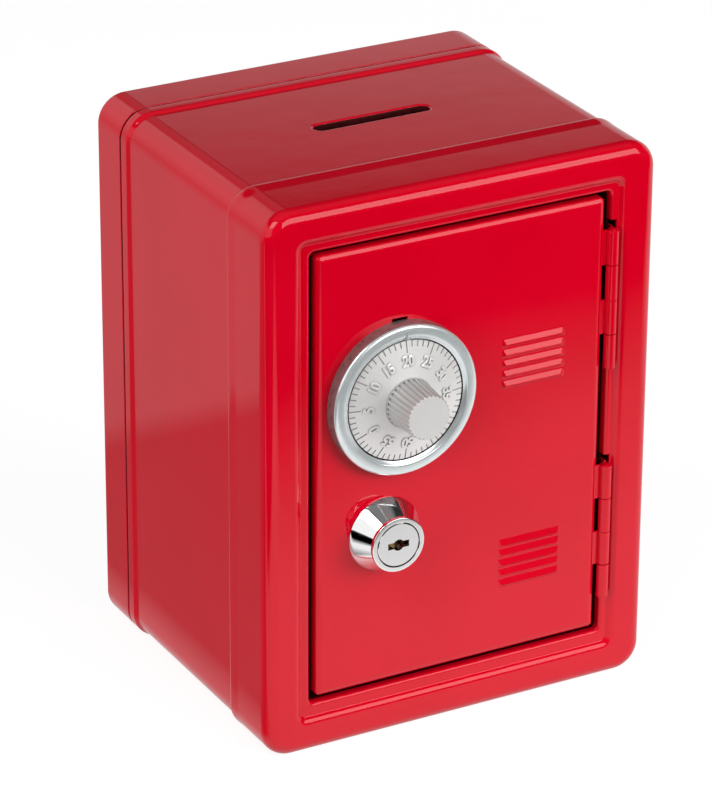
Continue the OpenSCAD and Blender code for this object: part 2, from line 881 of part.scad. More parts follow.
module spindle_clip() {
    color("dimgray")
    depth_axis(dial_x, dial_z)
    difference() {
        translate([0, 0, bridge_back_d + run_fit])
            cylinder(r = clip_r, h = clip_t - run_fit);
        cylinder(r = groove_r + seat_fit, h = spindle_end_d + cut);
        translate([-clip_mouth / 2, -clip_r - cut, 0])
            cube([clip_mouth, clip_r + cut, spindle_end_d + cut]);
    }
}

// One wheel with its gate, counted from the door
module wheel(index, gate_a, bore_r) {
    wheel_front = wheel_d + index * wheel_pitch;
    difference() {
        translate([0, 0, wheel_front])
            cylinder(r = wheel_r, h = wheel_t);
        cylinder(r = bore_r, h = spindle_end_d);
        rotate([0, 0, gate_a])
            translate([-gate_w / 2, wheel_r - gate_d, 0])
                cube([gate_w, gate_d + cut, spindle_end_d]);
    }
}

// Pick-up pin on the rear (side 1) or the front (side 0) of a wheel
module pickup(index, side) {
    wheel_front = wheel_d + index * wheel_pitch;
    sink = 0.2;
    rotate([0, 0, (index + side) * pickup_turn])
        translate([pickup_at, 0, wheel_front + (side == 1 ? wheel_t - sink : -pickup_l)])
            cylinder(r = pickup_r, h = pickup_l + sink);
}

module drive_wheel() {
    color("goldenrod")
    depth_axis(dial_x, dial_z) {
        wheel(0, gate_angles[0], spindle_r + seat_fit);
        pickup(0, 1);
    }
}

module second_wheel() {
    color("goldenrod")
    depth_axis(dial_x, dial_z) {
        wheel(1, gate_angles[1], spindle_r + run_fit);
        rotate([0, 0, pickup_turn])
            pickup(1, 0);
        pickup(1, 1);
    }
}

module third_wheel() {
    color("goldenrod")
    depth_axis(dial_x, dial_z) {
        wheel(2, gate_angles[2], spindle_r + run_fit);
        rotate([0, 0, pickup_turn])
            pickup(2, 0);
    }
}

module wheel_spacers() {
    color("silver")
    depth_axis(dial_x, dial_z)
        for (index = [1:3]) {
            space = index == 3 ? bridge_d - pack_end_d : spacer_space;
            difference() {
                translate([0, 0, wheel_d + index * wheel_pitch - spacer_space + run_fit])
                    cylinder(r = spacer_r, h = space - 2 * run_fit);
                cylinder(r = spindle_r + seat_fit, h = spindle_end_d);
            }
        }
}

module spring_washer() {
    hub_r = spindle_r + 2 * run_fit;
    blade_t = 0.3;
    washer_r = spacer_r + 1;
    color("dimgray")
    turned(dial_x, dial_z)
        polygon([
            [washer_r, door_inside_d + run_fit],
            [washer_r, door_inside_d + blade_t + run_fit],
            [hub_r, wheel_d - run_fit],
            [hub_r, wheel_d - blade_t - run_fit]
        ]);
}

function around_dial(at, angle) = [dial_x + at * cos(angle), dial_z + at * sin(angle)];

function bridge_points() = concat(
    [for (angle = post_angles) around_dial(post_at, angle)],
    [[pivot_x, pivot_z]]
);

module bridge_plate() {
    x_list = [for (point = bridge_points()) point[0]];
    z_list = [for (point = bridge_points()) point[1]];
    w = max(x_list) - min(x_list) + 2 * bridge_margin;
    h = max(z_list) - min(z_list) + 2 * bridge_margin;
    mid_x = (max(x_list) + min(x_list)) / 2;
    middle_z = (max(z_list) + min(z_list)) / 2;
    color("darkgray")
    difference() {
        front_plate(bridge_d, bridge_back_d)
            round_rect(w, h, bridge_margin, mid_x, middle_z);
        depth_axis(dial_x, dial_z)
            cylinder(r = spindle_end_r + run_fit, h = spindle_end_d);
        for (angle = post_angles)
            bridge_hole(around_dial(post_at, angle), screw_r + run_fit);
        bridge_hole([pivot_x, pivot_z], stud_end_r + run_fit);
    }
}

module bridge_hole(point, r) {
    depth_axis(point[0], point[1])
        cylinder(r = r, h = spindle_end_d);
}

module bridge_posts() {
    color("silver")
    for (angle = post_angles) {
        point = around_dial(post_at, angle);
        depth_axis(point[0], point[1])
        difference() {
            translate([0, 0, door_inside_d])
                cylinder(r = post_r, h = bridge_d - door_inside_d);
            translate([0, 0, bridge_d - screw_grip])
                cylinder(r = screw_r + seat_fit, h = screw_grip + cut);
        }
    }
}

module bridge_screws() {
    slot_w = 0.6;
    slot_depth = 0.5;
    color("dimgray")
    for (angle = post_angles) {
        point = around_dial(post_at, angle);
        depth_axis(point[0], point[1])
        difference() {
            union() {
                translate([0, 0, bridge_d - screw_grip])
                    cylinder(r = screw_r, h = screw_grip + bridge_t + screw_head_t / 2);
                translate([0, 0, bridge_back_d])
                    cylinder(r = screw_head_r, h = screw_head_t);
            }
            translate([-screw_head_r - cut, -slot_w / 2, bridge_back_d + screw_head_t - slot_depth])
                cube([2 * (screw_head_r + cut), slot_w, slot_depth + cut]);
        }
    }
}

// Straight bar with round ends between two points, seen from the front
module bar(from, to, w) {
    run = norm(to - from);
    translate(from)
        rotate([0, 0, atan2(to[1] - from[1], to[0] - from[0])])
            translate([0, -w / 2])
                square([run, w]);
    for (point = [from, to])
        translate(point)
            circle(w / 2);
}

module fence_lever() {
    pivot = [pivot_x, pivot_z];
    elbow = around_dial(elbow_at, elbow_angle);
    fence = around_dial(fence_at, fence_angle);
    tail = [pivot_x, pivot_z - tail_l];
    color("steelblue")
    difference() {
        union() {
            front_plate(lever_d, lever_d + lever_t) {
                bar(pivot, elbow, lever_w);
                bar(elbow, fence, fence_arm_w);
                bar(pivot, tail, lever_w);
            }
            depth_axis(fence[0], fence[1])
                translate([0, 0, wheel_d - run_fit])
                    cylinder(r = fence_w / 2, h = pack_end_d - wheel_d + 2 * run_fit);
            depth_axis(pivot_x, pivot_z)
                translate([0, 0, lever_d])
                    cylinder(r = lever_boss_r, h = bridge_d - run_fit - lever_d);
        }
        depth_axis(pivot_x, pivot_z)
            cylinder(r = stud_r + run_fit, h = spindle_end_d);
    }
}

module fence_stud() {
    color("silver")
    depth_axis(pivot_x, pivot_z) {
        translate([0, 0, door_inside_d])
            cylinder(r = stud_collar_r, h = lever_d - run_fit - door_inside_d);
        translate([0, 0, door_inside_d])
            cylinder(r = stud_r, h = bridge_d - door_inside_d);
        translate([0, 0, door_inside_d])
            cylinder(r = stud_end_r, h = bridge_back_d + rivet_t - door_inside_d);
        translate([0, 0, bridge_back_d])
            cylinder(r = rivet_r, h = rivet_t);
    }
}

module lock_housing() {
    rim_d = door_face_d - lock_rim_t;
    neck_d = door_face_d - neck_h;
    head_back_d = lock_front_d + lock_head_t;
    color("whitesmoke")
    turned(lock_x, lock_z)
        difference() {
            polygon([
                [plug_r + run_fit, lock_front_d],
                [lock_head_r, lock_front_d],
                [lock_head_r, head_back_d],
                [neck_r, head_back_d],
                [neck_r, neck_d],
                [lock_base_r, rim_d],
                [lock_base_r, door_face_d],
                [barrel_r, door_face_d],
                [barrel_r, barrel_end_d],
                [plug_r + run_fit, barrel_end_d]
            ]);
            translate([0, lock_front_d - cut])
                square([plug_face_r + plug_face_fit, plug_face_t + plug_recess + cut]);
        }
}

module lock_nut() {
    color("silver")
    depth_axis(lock_x, lock_z)
    difference() {
        translate([0, 0, door_inside_d])
            rotate([0, 0, 30])
                cylinder(r = nut_af / sqrt(3), h = nut_t, $fn = 6);
        cylinder(r = barrel_r + seat_fit, h = door_inside_d + nut_t + cut);
    }
}

function wafer_depths() = [for (index = [0:wafer_count - 1]) wafer_start_d + index * wafer_pitch];

module lock_plug() {
    face_d = lock_front_d + plug_recess;
    face_back_d = face_d + plug_face_t - run_fit;
    slot_t = wafer_t + wafer_gap;
    color("whitesmoke")
    depth_axis(lock_x, lock_z)
    difference() {
        union() {
            rotate_extrude()
                polygon([
                    [0, face_d],
                    [plug_face_r - plug_chamfer, face_d],
                    [plug_face_r, face_d + plug_chamfer],
                    [plug_face_r, face_back_d],
                    [plug_r, face_back_d],
                    [plug_r, cam_d],
                    [0, cam_d]
                ]);
            translate([-square_w / 2, -square_w / 2, cam_d - cut])
                cube([square_w, square_w, cam_t + cut]);
        }
        translate([-key_l / 2, -key_w / 2, face_d - cut])
            cube([key_l, key_w, key_d + cut]);
        translate([0, 0, face_d - cut])
            cylinder(r = key_hole_r, h = key_d + cut);
        for (d = wafer_depths())
            translate([-plug_r - cut, -wafer_h / 2 - wafer_gap, d - wafer_gap / 2])
                cube([2 * (plug_r + cut), wafer_h + 2 * wafer_gap, slot_t]);
        translate([0, 0, cam_d + cam_t - cam_screw_l])
            cylinder(r = cam_screw_r + seat_fit, h = cam_screw_l + cut);
    }
}

module lock_wafers() {
    half = sqrt(pow(plug_r, 2) - pow(wafer_h / 2, 2)) - wafer_gap;
    window_w = key_l + 2 * wafer_gap;
    window_h = key_w + 2 * wafer_gap;
    color("goldenrod")
    depth_axis(lock_x, lock_z)
        for (d = wafer_depths())
            difference() {
                translate([-half, -wafer_h / 2, d])
                    cube([2 * half, wafer_h, wafer_t]);
                translate([-window_w / 2, -window_h / 2, d - cut])
                    cube([window_w, window_h, wafer_t + 2 * cut]);
            }
}

module lock_cam() {
    hole_w = square_w + 2 * run_fit;
    color("silver")
    difference() {
        front_plate(cam_d, cam_d + cam_t)
            bar([lock_x, lock_z], [lock_x, lock_z - cam_l + cam_w / 2], cam_w);
        translate([lock_x - hole_w / 2, front_y + cam_d - cut, lock_z - hole_w / 2])
            cube([hole_w, cam_t + 2 * cut, hole_w]);
    }
}

module cam_screw() {
    slot_w = 0.8;
    slot_depth = 0.6;
    head_d = cam_d + cam_t;
    color("dimgray")
    depth_axis(lock_x, lock_z)
    difference() {
        union() {
            translate([0, 0, head_d - cam_screw_l])
                cylinder(r = cam_screw_r, h = cam_screw_l + cam_screw_head_t / 2);
            translate([0, 0, head_d])
                cylinder(r = cam_screw_head_r, h = cam_screw_head_t);
        }
        translate([-cam_screw_head_r - cut, -slot_w / 2, head_d + cam_screw_head_t - slot_depth])
            cube([2 * (cam_screw_head_r + cut), slot_w, slot_depth + cut]);
    }
}

front_frame();
body_sleeve();
back_shell();
upper_hinge_leaf();
lower_hinge_leaf();
upper_hinge_pin();
lower_hinge_pin();
door_panel();
dial_ring();
dial_knob();
dial_spindle();
drive_wheel();
second_wheel();
third_wheel();
wheel_spacers();
spring_washer();
bridge_plate();
bridge_posts();
bridge_screws();
spindle_clip();
fence_lever();
fence_stud();
lock_housing();
lock_nut();
lock_plug();
lock_wafers();
lock_cam();
cam_screw();
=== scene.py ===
"""Toy safe coin bank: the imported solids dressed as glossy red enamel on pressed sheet, a zinc dial ring,
a satin dial, a chromed cam lock and a plated mechanism.

Lengths are in millimetres until they reach Blender, in metres.
"""

import json
import math

import bmesh
import bpy
from mathutils import Matrix, Vector


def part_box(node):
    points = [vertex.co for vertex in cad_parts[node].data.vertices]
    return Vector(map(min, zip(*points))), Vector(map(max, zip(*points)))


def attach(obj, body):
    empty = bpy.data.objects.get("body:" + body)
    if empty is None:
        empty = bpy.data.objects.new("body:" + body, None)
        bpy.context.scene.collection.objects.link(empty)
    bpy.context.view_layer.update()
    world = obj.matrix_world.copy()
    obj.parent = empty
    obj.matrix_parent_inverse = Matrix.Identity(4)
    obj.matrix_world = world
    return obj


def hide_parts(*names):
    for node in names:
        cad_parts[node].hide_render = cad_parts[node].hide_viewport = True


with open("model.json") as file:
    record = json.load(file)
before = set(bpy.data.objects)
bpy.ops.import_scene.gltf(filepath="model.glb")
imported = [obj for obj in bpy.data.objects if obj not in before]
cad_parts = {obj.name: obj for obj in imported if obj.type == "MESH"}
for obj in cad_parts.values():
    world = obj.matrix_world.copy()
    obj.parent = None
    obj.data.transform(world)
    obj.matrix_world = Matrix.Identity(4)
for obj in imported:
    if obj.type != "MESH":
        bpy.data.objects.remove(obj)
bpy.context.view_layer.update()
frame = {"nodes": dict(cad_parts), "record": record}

MM = 0.001

# Sheet steel shell, as depths behind the front plane and insets from the outline
SHEET_T = 0.7
FRONT_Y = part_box("front_frame")[0].y / MM
BODY_W = 120.0
BODY_H = 161.0
BODY_D = 101.0
CORNER_R = 8.3
FRONT_EDGE_R = 4.0
FRAME_D = 22.5
OPEN_W = 92.0
OPEN_H = 133.3
OPEN_MID_Z = 81.25
OPEN_CORNER_R = 1.5
OPEN_BEND_R = 1.1
FLANGE_D = 10.0
STEP_W = 102.2
STEP_H = 144.5
STEP_MID = (-0.4, 80.75)
STEP_CORNER_R = 4.2
STEP_DEPTH = 1.4
STEP_SLOPE = 45
STEP_OUTER_R = 2.8
STEP_INNER_R = 0.6
REAR_ROLL_R = 1.6
REAR_ROLL_TURN = 50
REAR_FLARE = 0.16
REAR_FLARE_L = 4.5
# Depth past which the walls of the door gap get painted shade
DARK_D = 3.8
SLEEVE_INSET = 0.8
SLEEVE_START_D = 14.0
FLARE_D = 80.5
FLARE_RUN = 1.8
FLARE_STEPS = 8
LIP_END_D = 85.3
LIP_EDGE_R = 0.25
BACK_START_D = 86.0
SPIGOT_START_D = 77.0
SPIGOT_INSET = 1.6
SEAM_BEND_R = 0.3
REAR_EDGE_R = 2.0
SLOT_L = 35.5
SLOT_W = 4.4
SLOT_D = 52.0
SLOT_BEND_R = 0.8
SLOT_EDGE_D = 2.0
SLOT_DARK_DROP = 0.3

# Door, louvers and hinges
DOOR_W = 88.0
DOOR_H = 129.9
DOOR_MID_X = -0.4
DOOR_MID_Z = 81.75
DOOR_FACE_D = 0.5
DOOR_END_D = 8.0
DOOR_CORNER_R = 1.2
DOOR_SOFT_R = 2.7
DOOR_SOFT_TURN = 38
DOOR_EDGE_R = 0.85
LOUVER_X = 21.85
LOUVER_L = 19.3
LOUVER_W = 2.5
LOUVER_CREST = 0.5
LOUVER_END = 0.8
LOUVER_PROUD = 0.66
LOUVER_PITCH = 3.06
LOUVER_COUNT = 5
LOUVER_BLEND = 0.22
LOUVER_MARGIN = 0.4
LOUVER_ZS = (104.2, 43.9)
FINE_GRID = (0.2, 0.13)
COARSE_GRID = 6.0
HINGE_X = 46.0
HINGE_D = 0.2
HINGE_ZS = (116.85, 46.6)
KNUCKLE_R = 1.7
KNUCKLE_L = 10.0
KNUCKLE_BORE_R = 1.0
KNUCKLE_EDGE = 0.15
KNUCKLE_STEPS = 48
DOOR_KNUCKLES = (1, 3)
KNUCKLE_PITCH = 10.2
STACK_L = 40.6
CUTOUT_ABOVE = 2.3
CUTOUT_BELOW = 0.8
CUTOUT_X = (44.3, 47.9)
CUTOUT_D = 4.0
TAB_OVERLAP = 1
TAB_SHORT = 1.2
TAB_SINK = 0.02

# Dial and lock
DIAL_X = -19.6
DIAL_Z = 102.1
RING_R = 21.8
RING_H = 4.4
RING_INNER_R = 17.6
RING_SEAT_D = 0.8
RING_BEAD_R = 0.75
RING_BEAD_START = 218
RING_FLAT_R = (19.2, 19.75)
RING_SOFT_R = 5.0
RING_SOFT_TURN = 13
RING_STEPS = 240
INDEX_W = 3.4
INDEX_RISE = 0.36
INDEX_END_R = 20.1
INDEX_TIP_R = 20.9
INDEX_TIP_W = 0.2
INDEX_TIP_SINK = 0.3
RING_TAB_W = 4.7
RING_TAB_IN = 20.95
RING_TAB_OUT = 22.55
DIAL_FACE_H = 3.5
DIAL_RIM_R = 17.2
DIAL_RISE = 2.3
KNOB_FOOT_R = 7.1
NUMBER_COUNT = 12
NUMBER_STEP = 5
TOP_NUMBER = 20
NUMBER_H = 2.9
NUMBER_R = 11.7
NUMBER_NARROW = 0.86
NUMBER_RISE = 0.25
NUMBER_EDGE = 0.13
NUMBER_BEVEL = 0.05
NUMBER_SPACING = 0.95
FONT_CAPITAL = 0.70
LOCK_X = -23.8
LOCK_Z = 61.9
LOCK_BASE_R = 10.85
LOCK_RIM_T = 0.4
LOCK_NECK_R = 6.6
LOCK_NECK_H = 6.3
LOCK_HEAD_R = 7.95
LOCK_H = 8.1
LOCK_HEAD_T = 1.2
LOCK_EDGE_R = 0.3
LOCK_BACK_EDGE_R = 0.15
LOCK_NECK_FILLET = 0.25
LOCK_CONE_STEPS = 12
LOCK_STEPS = 160
BARREL_R = 7.5
BARREL_END_D = 10.9
PLUG_HOLE_R = 5.45
PLUG_FACE_HOLE_R = 6.52
PLUG_FACE_T = 1.15
PLUG_FACE_CHAMFER = 0.08

# Camera that the photograph was solved for
CAMERA_AT = Vector((-0.54605, -0.97796, 0.59803))
CAMERA_AIM = Vector((-0.00494, 0.00830, 0.07596))
CAMERA_ROLL = math.radians(0.312)
CAMERA_LENS = 198.06
CAMERA_SENSOR = 36.0
CAMERA_CLIP = (0.05, 30.0)

# Studio, as strengths of which 1 is white, and ray directions as the sine of the elevation
WORLD_FILL = 0.10
PAPER_IN_GLOSS = 0.90
CEILING = 0.03
LEFT_BACKDROP = 0.95
LEFT_BACKDROP_Z = (0.56, 0.62)
RIGHT_BACKDROP = 0.74
RIGHT_BACKDROP_Z = (0.331, 0.391)
RIGHT_WING = 0.25
LEFT_WALL = 1.0
CEILING_TOP = 0.20
CEILING_TOP_Z = (0.80, 0.90)
BEHIND_Y = (-0.05, 0.15)
RIGHT_SIDE_X = (-0.02, 0.05)
RIGHT_WING_X = (0.33, 0.43)
LEFT_FOOT_SHARE = 0.6
LEFT_FOOT_Z = (0.0, 0.3)
LEFT_WALL_X = (-0.72, -0.62)
LEFT_WALL_Z = (0.05, 0.07)

# Floor paper in metres, as from, to, level at from and level at to. Its front edge swings with x
PAPER_REACH = 6.0
PAPER_SWINGS = ((0.03, 0.13, -0.03, 0.0), (-0.08, 0.02, 0.15, 0.0))
PAPER_FADES = ((-0.28, -0.20, 0.0, 0.68), (-0.20, -0.12, 0.0, 0.27))
PAPER_LEFT_X = (-0.17, -0.14, 0.0, 1.0)
PAPER_SIDE_Y = (-0.09, -0.06, 0.0, 1.0)
# Painted shadow on the paper as gloss sees it, left of the object: where it lies and how deep it is
SHADE_X = (-0.075, -0.065, 1.0, 0.0)
SHADE_FRONT_Y = (-0.055, -0.04, 0.0, 1.0)
SHADE_BACK_Y = (0.158, 0.176)
SHADE_BACK = 0.40
SHADE_DEPTH_X = (-0.20, -0.07, 0.78, 0.68)
SHADE_DEPTH_Y = (-0.04, 0.0, 0.2, 0.0)
PAPER_DARK = (0.02, 0.02, 0.02)
PAPER_PALE = (0.55, 0.55, 0.55)
SHADOW_PALE = (0.30, 0.30, 0.30)
PAPER_GLOW = 0.86

# Name, bearing right of the front, elevation, distance, width, height, power, and whether gloss sees it
LAMPS = (
    ("key", 23, 28, 1.6, 1.4, 0.95, 14.5, True),
    ("fill", 40, 5, 0.8, 0.6, 0.6, 3.9, False),
    ("left", -80, 5, 1.6, 1.1, 1.1, 22, False),
    ("window", -60, 46, 1.6, 0.75, 0.65, 6.5, True),
)

CORNER_STEPS = 20
FILLET_STEPS = 10
FLARE_SHARES = [i / FLARE_STEPS for i in range(FLARE_STEPS + 1)]


# Mesh helpers


def at(x, d, z):
    """A point of the frame in metres, from millimetres with the depth behind the front plane."""
    return Vector((x, FRONT_Y + d, z)) * MM


def new_object(name, data):
    obj = bpy.data.objects.new(name, data)
    bpy.context.scene.collection.objects.link(obj)
    return obj


def mesh_object(name, bm):
    """An object from a bmesh, with its faces turned outwards. The bmesh is freed."""
    bmesh.ops.recalc_face_normals(bm, faces=bm.faces)
    mesh = bpy.data.meshes.new(name)
    bm.to_mesh(mesh)
    bm.free()
    return new_object(name, mesh)


def new_piece(name, bm, sharp_deg=30.0):
    """A smooth-shaded object from a bmesh, with flats kept flat and edges over sharp_deg kept sharp."""
    obj = mesh_object(name, bm)
    shade(obj, sharp_deg)
    return obj


def shade(obj, sharp_deg=30.0):
    mesh = obj.data
    mesh.polygons.foreach_set("use_smooth", [True] * len(mesh.polygons))
    mesh.set_sharp_from_angle(angle=math.radians(sharp_deg))
    if not any(m.type == "WEIGHTED_NORMAL" for m in obj.modifiers):
        weighted = obj.modifiers.new("weighted_normals", "WEIGHTED_NORMAL")
        weighted.keep_sharp = True
        weighted.weight = 80


def rectangle(w, h, r, x=0.0, z=BODY_H / 2):
    return {"x": x, "z": z, "w": w / 2, "h": h / 2, "r": r}


BODY = rectangle(BODY_W, BODY_H, CORNER_R)
STEP = rectangle(STEP_W, STEP_H, STEP_CORNER_R, *STEP_MID)
OPENING = rectangle(OPEN_W, OPEN_H, OPEN_CORNER_R, 0.0, OPEN_MID_Z)
DOOR = rectangle(DOOR_W, DOOR_H, DOOR_CORNER_R, DOOR_MID_X, DOOR_MID_Z)


def outside(rect, x, z):
    """How far a point lies outside the sides of a rectangle."""
    return max(abs(x - rect["x"]) - rect["w"], abs(z - rect["z"]) - rect["h"])


def outline(rect, grow):
    """Points (x, z) of a round-cornered rectangle grown by a distance, anticlockwise from the right side."""
    r = max(rect["r"] + grow, 0.02)
    w, h = rect["w"] + grow - r, rect["h"] + grow - r
    points = []
    for turn, (sx, sz) in enumerate(((1, 1), (-1, 1), (-1, -1), (1, -1))):
        for step in range(CORNER_STEPS + 1):
            a = math.radians(90 * turn + 90 * step / CORNER_STEPS)
            points.append((rect["x"] + sx * w + r * math.cos(a), rect["z"] + sz * h + r * math.sin(a)))
    return points


def arc(cx, cy, r, start_deg, end_deg, steps=FILLET_STEPS):
    """Points of an arc, both ends included."""
    angles = [math.radians(start_deg + (end_deg - start_deg) * i / steps) for i in range(steps + 1)]
    return [(cx + r * math.cos(a), cy + r * math.sin(a)) for a in angles]


def ease(t):
    """A share of 0 to 1 with a soft start and end."""
    return 3 * t * t - 2 * t**3


def join_rings(bm, one, two):
    for i in range(len(one)):
        j = (i + 1) % len(one)
        bm.faces.new((one[i], one[j], two[j], two[i]))


def loft(bm, rings, closed):
    """Quads between rings of one vertex count. closed joins last to first, else both ends get a cap."""
    loops = [[bm.verts.new(p) for p in ring] for ring in rings]
    for one, two in zip(loops, loops[1:]):
        join_rings(bm, one, two)
    if closed:
        join_rings(bm, loops[-1], loops[0])
    else:
        bm.faces.new(loops[0])
        bm.faces.new(loops[-1])


def sheet_ring(rect, grow, d):
    return [at(x, d, z) for x, z in outline(rect, grow)]


def lathe(bm, profile, x, z, steps):
    """Turns a closed profile of (radius, depth) about the depth axis through x and z."""
    rings = []
    for i in range(steps):
        a = 2 * math.pi * i / steps
        rings.append([at(x + r * math.cos(a), d, z + r * math.sin(a)) for r, d in profile])
    loft(bm, rings, closed=True)


def add_box(bm, low, high):
    for v in bmesh.ops.create_cube(bm, size=1.0)["verts"]:
        v.co = Vector([(low[i] + high[i]) / 2 + v.co[i] * (high[i] - low[i]) for i in range(3)])


def box_cutter(low, high):
    bm = bmesh.new()
    add_box(bm, low, high)
    return mesh_object("cutter", bm)


def prism_cutter(points, start, end):
    """Upright cutter with an outline of level points in metres, from start to end millimetres above them."""
    bm = bmesh.new()
    loft(bm, [[p + Vector((0, 0, rise)) * MM for p in points] for rise in (start, end)], closed=False)
    return mesh_object("cutter", bm)


def cut_away(obj, *cutters):
    """Takes the cutters out of obj and deletes them."""
    for cutter in cutters:
        boolean = obj.modifiers.new("cut", "BOOLEAN")
        boolean.operation = "DIFFERENCE"
        boolean.solver = "EXACT"
        boolean.object = cutter
        obj.modifiers.move(len(obj.modifiers) - 1, 0)
        bpy.context.view_layer.objects.active = obj
        bpy.ops.object.modifier_apply(modifier=boolean.name)
        bpy.data.objects.remove(cutter)
    shade(obj)


def stadium(length, width, steps=16):
    """Outline of a slot with round ends as (x, y) about its middle, anticlockwise."""
    r = width / 2
    run = length / 2 - r
    angles = [math.pi * (i / steps - 0.5) for i in range(steps + 1)]
    right = [(run + r * math.cos(a), r * math.sin(a)) for a in angles]
    return right + [(-x, -y) for x, y in right]


# Material helpers


class Nodes:
    """Short calls for the node tree of a world, or of a new material when a name is given."""

    def __init__(self, owner):
        self.material = bpy.data.materials.new(owner) if isinstance(owner, str) else owner
        self.material.use_nodes = True
        self.tree = self.material.node_tree
        self.bsdf = self.tree.nodes.get("Principled BSDF")
        self.coords = self.tree.nodes.new("ShaderNodeTexCoord").outputs["Object"]

    def set(self, **values):
        for name, value in values.items():
            self.bsdf.inputs[name.replace("_", " ")].default_value = value
        return self

    def link(self, output, node, socket):
        self.tree.links.new(output, node.inputs[socket])
        return node

    def split(self, vector):
        """The three parts of a vector."""
        node = self.tree.nodes.new("ShaderNodeSeparateXYZ")
        self.link(vector, node, 0)
        return node.outputs

    def noise(self, scale, detail=2.0, roughness=0.5, stretch=(1, 1, 1)):
        """Noise in object space; scale counts features per metre."""
        mapping = self.tree.nodes.new("ShaderNodeMapping")
        mapping.inputs["Scale"].default_value = stretch
        self.link(self.coords, mapping, "Vector")
        node = self.tree.nodes.new("ShaderNodeTexNoise")
        node.inputs["Scale"].default_value = scale
        node.inputs["Detail"].default_value = detail
        node.inputs["Roughness"].default_value = roughness
        self.link(mapping.outputs[0], node, "Vector")
        return node.outputs["Fac"]

    def mottle(self, value, low, high):
        """A colour that goes from low to high over the middle of a noise."""
        node = self.tree.nodes.new("ShaderNodeValToRGB")
        for element, position, colour in zip(node.color_ramp.elements, (0.3, 0.7), (low, high)):
            element.position = position
            element.color = (*colour, 1.0)
        self.link(value, node, "Fac")
        return node.outputs["Color"]

    def range(self, value, from_low, from_high, to_low, to_high):
        node = self.tree.nodes.new("ShaderNodeMapRange")
        names = ("From Min", "From Max", "To Min", "To Max")
        for name, number in zip(names, (from_low, from_high, to_low, to_high)):
            node.inputs[name].default_value = number
        self.link(value, node, "Value")
        return node.outputs["Result"]

    def maths(self, operation, one, two):
        node = self.tree.nodes.new("ShaderNodeMath")
        node.operation = operation
        for i, value in enumerate((one, two)):
            if isinstance(value, (int, float)):
                node.inputs[i].default_value = value
            else:
                self.tree.links.new(value, node.inputs[i])
        return node.outputs[0]

    def blend(self, share, one, two):
        """A number that is one where share is 1, and two where it is 0."""
        rest = self.maths("SUBTRACT", 1.0, share)
        return self.maths("ADD", self.maths("MULTIPLY", share, one), self.maths("MULTIPLY", rest, two))

    def mix(self, factor, one, two):
        node = self.tree.nodes.new("ShaderNodeMix")
        node.data_type = "RGBA"
        for name, value in (("Factor", factor), ("A", one), ("B", two)):
            named = [s for s in node.inputs if s.name == name]
            socket = next(s for s in named if name == "Factor" or s.type == "RGBA")
            if hasattr(value, "is_linked"):
                self.tree.links.new(value, socket)
            else:
                socket.default_value = value if name == "Factor" else (*value, 1.0)
        return next(s for s in node.outputs if s.type == "RGBA")

    def bump(self, height, distance, strength=1.0, under=None):
        """Bump of a height of 0 to 1 over a distance in metres."""
        node = self.tree.nodes.new("ShaderNodeBump")
        node.inputs["Strength"].default_value = strength
        node.inputs["Distance"].default_value = distance
        self.link(height, node, "Height")
        if under is not None:
            self.link(under, node, "Normal")
        return node.outputs["Normal"]

    def painted_hollow_shade(self, colour, distance, dark):
        """A colour with painted shade: darker in hollows narrower than a distance in metres, by ambient
        occlusion.
        """
        node = self.tree.nodes.new("ShaderNodeAmbientOcclusion")
        node.samples = 12
        node.inputs["Distance"].default_value = distance
        hollow = self.range(node.outputs["AO"], 0.4, 0.93, 1.0, 0.0)
        return self.mix(hollow, colour, dark)

    def to(self, socket, value):
        self.link(value, self.bsdf, socket)
        return self


def enamel():
    """Stoved red enamel: deep colour, a clear gloss with faint orange peel, pale specks and rubbed spots."""
    n = Nodes("red_enamel")
    n.set(IOR=1.5, Specular_IOR_Level=0.0, Coat_Weight=1.0, Coat_Roughness=0.04, Coat_IOR=1.45)
    drift = n.noise(28.0, 3.0)
    specks = n.noise(2600.0, 2.0)
    colour = n.mottle(drift, (0.63, 0.0, 0.0125), (0.67, 0.0008, 0.0165))
    fleck = n.range(specks, 0.74, 0.80, 0.0, 1.0)
    n.to("Base Color", n.mix(n.maths("MULTIPLY", fleck, 0.35), colour, (0.70, 0.06, 0.07)))
    scuffs = n.noise(160.0, 6.0, 0.65, (1.0, 3.0, 0.4))
    n.to("Roughness", n.range(scuffs, 0.35, 0.75, 0.28, 0.42))
    peel = n.noise(620.0, 2.0, 0.45)
    wave = n.noise(95.0, 1.0, 0.4)
    broad = n.bump(wave, 0.00012, 0.12)
    skin = n.bump(peel, 0.00004, 0.08, broad)
    n.to("Normal", skin)
    n.to("Coat Normal", skin)
    return n.material


def zinc():
    """Bright zinc plating with a bluish tint, lightly rubbed in places."""
    n = Nodes("zinc_plate").set(Metallic=0.6)
    cloud = n.noise(220.0, 4.0)
    plate = n.mottle(cloud, (0.76, 0.83, 0.84), (0.86, 0.91, 0.92))
    # Painted shade: the plating darkens in its hollows, grooves and corners.
    n.to("Base Color", n.painted_hollow_shade(plate, 0.0005, (0.13, 0.13, 0.13)))
    grain = n.noise(1400.0, 3.0, 0.6)
    n.to("Roughness", n.range(grain, 0.3, 0.7, 0.17, 0.25))
    n.to("Normal", n.bump(grain, 0.00002, 0.12))
    return n.material


